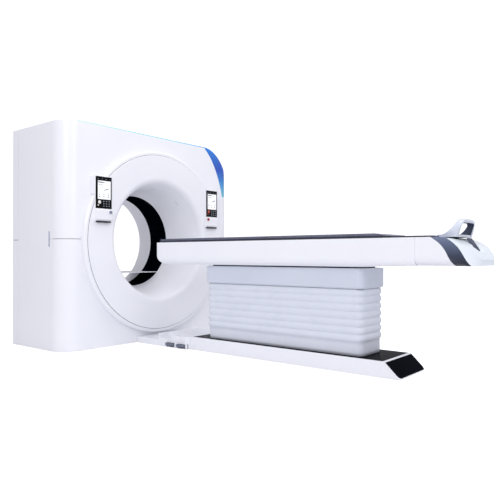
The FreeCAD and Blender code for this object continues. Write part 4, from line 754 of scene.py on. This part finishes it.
for side, round_key in (("left", ROUND_GREY), ("right", ROUND_RED)):
    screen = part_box("touch_screen_" + side)
    wide, y = screen[1][0] - screen[0][0], screen[0][1]
    tall = screen[1][2] - screen[0][2]
    field = plates(f"display_field_{side}", [(*spot(screen, 0.53, 0.42), wide * 0.80, tall * 0.58, 2 * MM)],
                   FIELD, y)
    marks = [(*spot(screen, 0.32, 0.18), wide * 0.34, 7 * MM, 1 * MM),
             (*spot(screen, 0.56, 0.19), wide * 0.10, 4 * MM, 1 * MM),
             (*spot(screen, 0.24, 0.25), wide * 0.10, 4 * MM, 1 * MM),
             (*spot(screen, 0.38, 0.26), wide * 0.10, 4 * MM, 1 * MM)]
    marks += [(*spot(screen, 0.24 + 0.27 * i, 0.56), 7 * MM, 9 * MM, 2 * MM) for i in range(3)]
    marks += [(*spot(screen, 0.24 + 0.27 * i, 0.63), 11 * MM, 6 * MM, 2 * MM) for i in range(3)]
    lines = plates(f"display_marks_{side}", marks, MARKS, y - INLAY, MARK_DEPTH)
    couch = bmesh.new()
    couch_x, couch_z = spot(screen, 0.62, 0.40)
    slab(couch, [(-28 * MM, -9 * MM), (-8 * MM, -8 * MM), (29 * MM, 3 * MM), (27 * MM, 11 * MM),
                 (4 * MM, 5 * MM)], (couch_x, y - INLAY - MARK_DEPTH, couch_z), MARK_DEPTH)
    couch = piece(f"display_couch_{side}", mesh_of(couch, "display_couch"), KEYS, "base",
                  smooth=False)
    top_row = plates(f"display_top_row_{side}",
                     [(*spot(screen, 0.16 + 0.24 * i, 0.075), (8 - i) * MM, 5 * MM, 2 * MM)
                      for i in range(4)], KEYS, y, KEY_DEPTH)
    knob = plates(f"display_round_{side}", [(*spot(screen, 0.24, 0.80), 30 * MM, 30 * MM, 14.9 * MM),
                                            (*spot(screen, 0.16, 0.90), 12 * MM, 12 * MM, 5.9 * MM)],
                  round_key, y, KEY_DEPTH)
    tile = bmesh.new()
    slab(tile, rounded(KEY_SIZE, KEY_SIZE * 0.6, 2.5 * MM), (0, -KEY_DEPTH, 0), KEY_DEPTH)
    bmesh.ops.rotate(tile, matrix=Matrix.Rotation(-math.pi / 2, 3, "X"), verts=tile.verts)
    key = bpy.data.objects.new("key_form", mesh_of(tile, "key_form"))
    bpy.context.collection.objects.link(key)
    spots = [Vector((spot(screen, 0.50 + 0.17 * i, 0)[0], y, spot(screen, 0, 0.77 + 0.075 * j)[1]))
             for i in range(3) for j in range(3)]
    keys = grow(f"display_keys_{side}", points_mesh("key_points", spots, [(0, -1, 0)] * len(spots)),
                SCATTER, KEYS, "base", smooth=False, Copy=key)
    bpy.data.objects.remove(key)
    # The dark strip under each tray is painted shadow: it stands where the tray's shadow falls.
    tray_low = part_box("panel_housing_" + side)[0]
    strip = bmesh.new()
    slab(strip, rounded(wide - 20 * MM, 11 * MM, 4 * MM),
         (spot(screen, 0.5, 0)[0], tray_low[1] + 3 * MM, tray_low[2] - 5.6 * MM), 18 * MM)
    under = piece(f"tray_seal_{side}", mesh_of(strip, "tray_painted_shadow"), SHADE_BLACK, "base", smooth=False)
print("screens:", wide / MM, "by", tall / MM, "mm")

# %% [markdown]
# ## Painted shade in the cover seams
# Where the upper and lower covers meet, the seam shows as a fine dark line, which is its shadow.
# A dark strip in the seam is painted shade for that shadow. It follows the covers' outline in plan,
# just inside it, so one closed ribbon is made along each stretch of that outline: round each front
# corner, and along each side of the rear covers.

# %% Painted seam shade
SEAM_Z, GAP = 0.923, 3.4 * MM


def ribbon(name, outer, inward, thick):
    """A closed strip that follows a line in plan, with its thickness inward of it."""
    bm = bmesh.new()
    columns = []
    for (x, y), (nx, ny) in zip(outer, inward):
        corners = [(x, y, -1), (x + nx * thick, y + ny * thick, -1),
                   (x + nx * thick, y + ny * thick, 1), (x, y, 1)]
        columns.append([bm.verts.new((a, b, SEAM_Z + c * GAP / 2)) for a, b, c in corners])
    for first, second in zip(columns, columns[1:]):
        for i in range(4):
            j = (i + 1) % 4
            bm.faces.new((first[i], first[j], second[j], second[i]))
    bm.faces.new(columns[0][::-1])
    bm.faces.new(columns[-1])
    made = piece(name, mesh_of(bm, name), SHADE_BLACK, "base", smooth=False)
    return made


front_low, front_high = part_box("front_cover_lower")
rear_low, rear_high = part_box("rear_cover_lower")
edge, sunk, SHADE_STRIP_DEPTH = front_high[0], 1.5 * MM, 2.6 * MM
# Each strip here is painted shade for the seam's shadow.
for side, sign, radius in (("left", -1, 150 * MM), ("right", 1, 109 * MM)):
    centre = (sign * (edge - radius), front_low[1] + radius)
    turns = [math.pi / 2 * i / 12 for i in range(13)]
    ways = [(-sign * math.cos(t), math.sin(t)) for t in turns]
    line = [(centre[0] - wx * (radius - sunk), centre[1] - wy * (radius - sunk)) for wx, wy in ways]
    line.append((sign * (edge - radius - 12 * MM), front_low[1] + sunk))
    ribbon(f"front_gasket_{side}", line, ways + [ways[-1]], SHADE_STRIP_DEPTH)
    straight = [(sign * (edge - sunk), rear_low[1] + 4 * MM),
                (sign * (edge - sunk), rear_high[1] - 42 * MM)]
    ribbon(f"rear_gasket_{side}", straight, [(-sign, 0)] * 2, SHADE_STRIP_DEPTH)
print("seam shade strips at height", SEAM_Z, "m")

# %% [markdown]
# ## Painted shade round the disc
# The round front disc meets its trim ring at a gap whose shadow draws a thin dark line round it. A
# dark ring there is painted shade for that shadow. A tree makes the ring: a circle as the path, and
# a smaller circle as the cord that is swept along it.

# %% Painted shade round the disc
RING, given, result = geometry_tree("ring_cord", ("Circle", "Float"), ("Cord", "Float"),
                                    ("Material", "Material"))
path = add(RING, "GeometryNodeCurvePrimitiveCircle", {"Resolution": 256,
                                                      "Radius": given.outputs["Circle"]})
cord = add(RING, "GeometryNodeCurvePrimitiveCircle", {"Resolution": TUBE_SIDES,
                                                      "Radius": given.outputs["Cord"]})
swept = add(RING, "GeometryNodeCurveToMesh", {"Curve": path.outputs["Curve"],
                                              "Profile Curve": cord.outputs["Curve"]})
disc_low, disc_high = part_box("front_disc")
stood = add(RING, "GeometryNodeTransform",
            {"Geometry": swept.outputs["Mesh"], "Rotation": (math.pi / 2, 0, 0),
             "Translation": (0, disc_low[1] + 7 * MM, (disc_low[2] + disc_high[2]) / 2)})
end_tree(RING, given, result, stood.outputs["Geometry"])
# The dark ring is painted shade for the shadow of the gap round the disc.
seed = bpy.data.meshes.new("shade_ring_seed")
disc_shade_ring = grow("disc_seal", seed, RING, SHADE_BLACK, "base",
                 Circle=(disc_high[0] - disc_low[0]) / 2 + 1.2 * MM, Cord=2.0 * MM)

# %% [markdown]
# ## Screws
# The rear covers come off for service, held by countersunk screws with a hexagon socket.
# One screw head is modelled with a real recess, and `scatter` sets it at each place, facing out.

# %% Screws
HEAD, SOCKET = 6.5 * MM, 2.6 * MM
head = bmesh.new()
sides = 24


def circle(radius, z, hexagon=False):
    """A ring of points; the socket's ring walks round a hexagon."""
    ring_points = []
    for i in range(sides):
        angle = 2 * math.pi * i / sides
        reach = radius
        if hexagon:
            reach = radius * math.cos(math.pi / 6) / math.cos((angle % (math.pi / 3)) - math.pi / 6)
        ring_points.append(head.verts.new((reach * math.cos(angle), reach * math.sin(angle), z)))
    return ring_points


profile = [circle(HEAD, -0.4 * MM), circle(HEAD, 0.3 * MM), circle(HEAD * 0.88, 0.8 * MM),
           circle(SOCKET, 0.8 * MM, True), circle(SOCKET, -0.3 * MM, True)]
for first, second in zip(profile, profile[1:]):
    for i in range(sides):
        j = (i + 1) % sides
        head.faces.new((first[i], first[j], second[j], second[i]))
head.faces.new(profile[0][::-1])
head.faces.new(profile[-1])
screw = bpy.data.objects.new("screw_form", mesh_of(head, "screw_form"))
bpy.context.collection.objects.link(screw)
spots, faces = [], []
for z in (0.12, 0.50, 0.86, 1.00, 1.40, 1.76):
    for x in (-0.93, 0.93):
        spots.append(Vector((x, rear_high[1], z)))
        faces.append((0, 1, 0))
for x in (-0.45, 0.0, 0.45):
    for z in (0.12, 1.80):
        spots.append(Vector((x, rear_high[1], z)))
        faces.append((0, 1, 0))
screws = grow("cover_screws", points_mesh("screw_points", spots, faces), SCATTER,
              FINISH["machined_steel"], "base", smooth=False, Copy=screw)
bpy.data.objects.remove(screw)
print("screws:", len(spots))

# %% [markdown]
# ## Ribs on the pedals
# A foot pedal is ribbed so that a shoe does not slip. `stitch` also serves here: a rib is a long
# rounded bar, and the line that it walks along runs down the pedal.

# %% Pedal ribs
rib = bmesh.new()
bmesh.ops.create_uvsphere(rib, u_segments=10, v_segments=6, radius=1)
bmesh.ops.scale(rib, vec=(1.6 * MM, 26 * MM, 0.8 * MM), verts=rib.verts)
form = bpy.data.objects.new("rib_form", mesh_of(rib, "rib_form"))
bpy.context.collection.objects.link(form)
for name, body in (("foot_pedal_up", "pedal_up"), ("foot_pedal_down", "pedal_down")):
    low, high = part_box(name)
    path = bpy.data.meshes.new("rib_path")
    cy = (low[1] + high[1]) / 2
    ends = [(low[0] + 9 * MM, cy, high[2]), (high[0] - 40 * MM, cy, high[2])]
    path.from_pydata(ends, [(0, 1)], [])
    ribs = grow(name + "_ribs", path, STITCH, FINISH["pedal_grey"], body, Copy=form, Step=5 * MM)
bpy.data.objects.remove(form)

# %% [markdown]
# ## Floor, light and camera
# A studio sweep: a pale floor that runs far out, a bright even surround, and large soft lamps. The
# key lamp stands at the front left, so that the rounded corner carries one tall soft highlight and
# the funnel shades smoothly. The floor glows for the camera only, so it reads as an even sweep
# and sheds no light of its own on the table. The camera stands low, at the height of the table top.

# %% Floor
floor = bmesh.new()
bmesh.ops.create_grid(floor, x_segments=4, y_segments=4, size=40)
bmesh.ops.translate(floor, vec=(0, 0, CAD_BOX[0][2] - 0.5 * MM), verts=floor.verts)
floor_obj = bpy.data.objects.new("studio_floor", mesh_of(floor, "studio_floor"))
bpy.context.collection.objects.link(floor_obj)
for face in floor_obj.data.polygons:
    if face.normal.z < 0:
        face.flip()
paint, bits = finish("studio_floor_paint", "#f4f5f8", "#f0f1f5", 0.9, 6, 0.01, patch_mm=3000,
                     Emission_Color=linear("#ffffff"))
seen = add(bits["tree"], "ShaderNodeLightPath").outputs["Is Camera Ray"]
bits["tree"].links.new(seen, bits["surface"].inputs["Emission Strength"])
floor_obj.data.materials.append(paint)
print("floor at height", round(floor_obj.data.vertices[0].co.z, 4), "m")

# %% Light
ON_THINGS, TO_CAMERA = 0.62, 1.2
scene = bpy.context.scene
world = bpy.data.worlds.new("bright_surround")
scene.world = world
world.use_nodes = True
surround = world.node_tree.nodes["Background"]
surround.inputs["Color"].default_value = linear("#fbfaff")
seen = add(world.node_tree, "ShaderNodeLightPath").outputs["Is Camera Ray"]
glow = add(world.node_tree, "ShaderNodeMapRange", {"Value": seen, "To Min": ON_THINGS,
                                                         "To Max": TO_CAMERA})
world.node_tree.links.new(glow.outputs["Result"], surround.inputs["Strength"])


def softbox(name, place, aim, size, watts, colour="#ffffff"):
    """A large square lamp at a place, turned to face a point."""
    lamp = bpy.data.lights.new(name, "AREA")
    lamp.shape = "RECTANGLE"
    lamp.size, lamp.size_y = size
    lamp.energy = watts
    lamp.color = linear(colour)[:3]
    obj = bpy.data.objects.new(name, lamp)
    bpy.context.collection.objects.link(obj)
    obj.location = place
    obj.rotation_euler = (Vector(aim) - Vector(place)).to_track_quat("-Z", "Y").to_euler()
    return obj


softbox("key", (-4.6, -3.4, 3.8), (-0.4, -0.8, 0.9), (1.8, 2.6), 86)
softbox("top", (0.2, -1.6, 4.6), (0, -1.4, 0.5), (3.0, 5.0), 78)
softbox("fill", (4.5, -4.0, 2.0), (0, -1.5, 0.8), (2.5, 2.5), 9, "#e8ecff")
softbox("front", (-1.2, -7.5, 2.6), (0, -0.5, 0.9), (3.0, 2.0), 36)
scene.view_settings.view_transform = "Standard"

# %% Camera
camera = bpy.data.objects.new("camera", bpy.data.cameras.new("camera"))
bpy.context.collection.objects.link(camera)
camera.data.lens = 40.03
camera.data.sensor_width = 36.0
camera.location = (-3.510, -4.388, 0.790)
camera.rotation_euler = (math.radians(90.536), 0, math.radians(-51.05))
scene.camera = camera
print("camera at", tuple(round(v, 3) for v in camera.location))
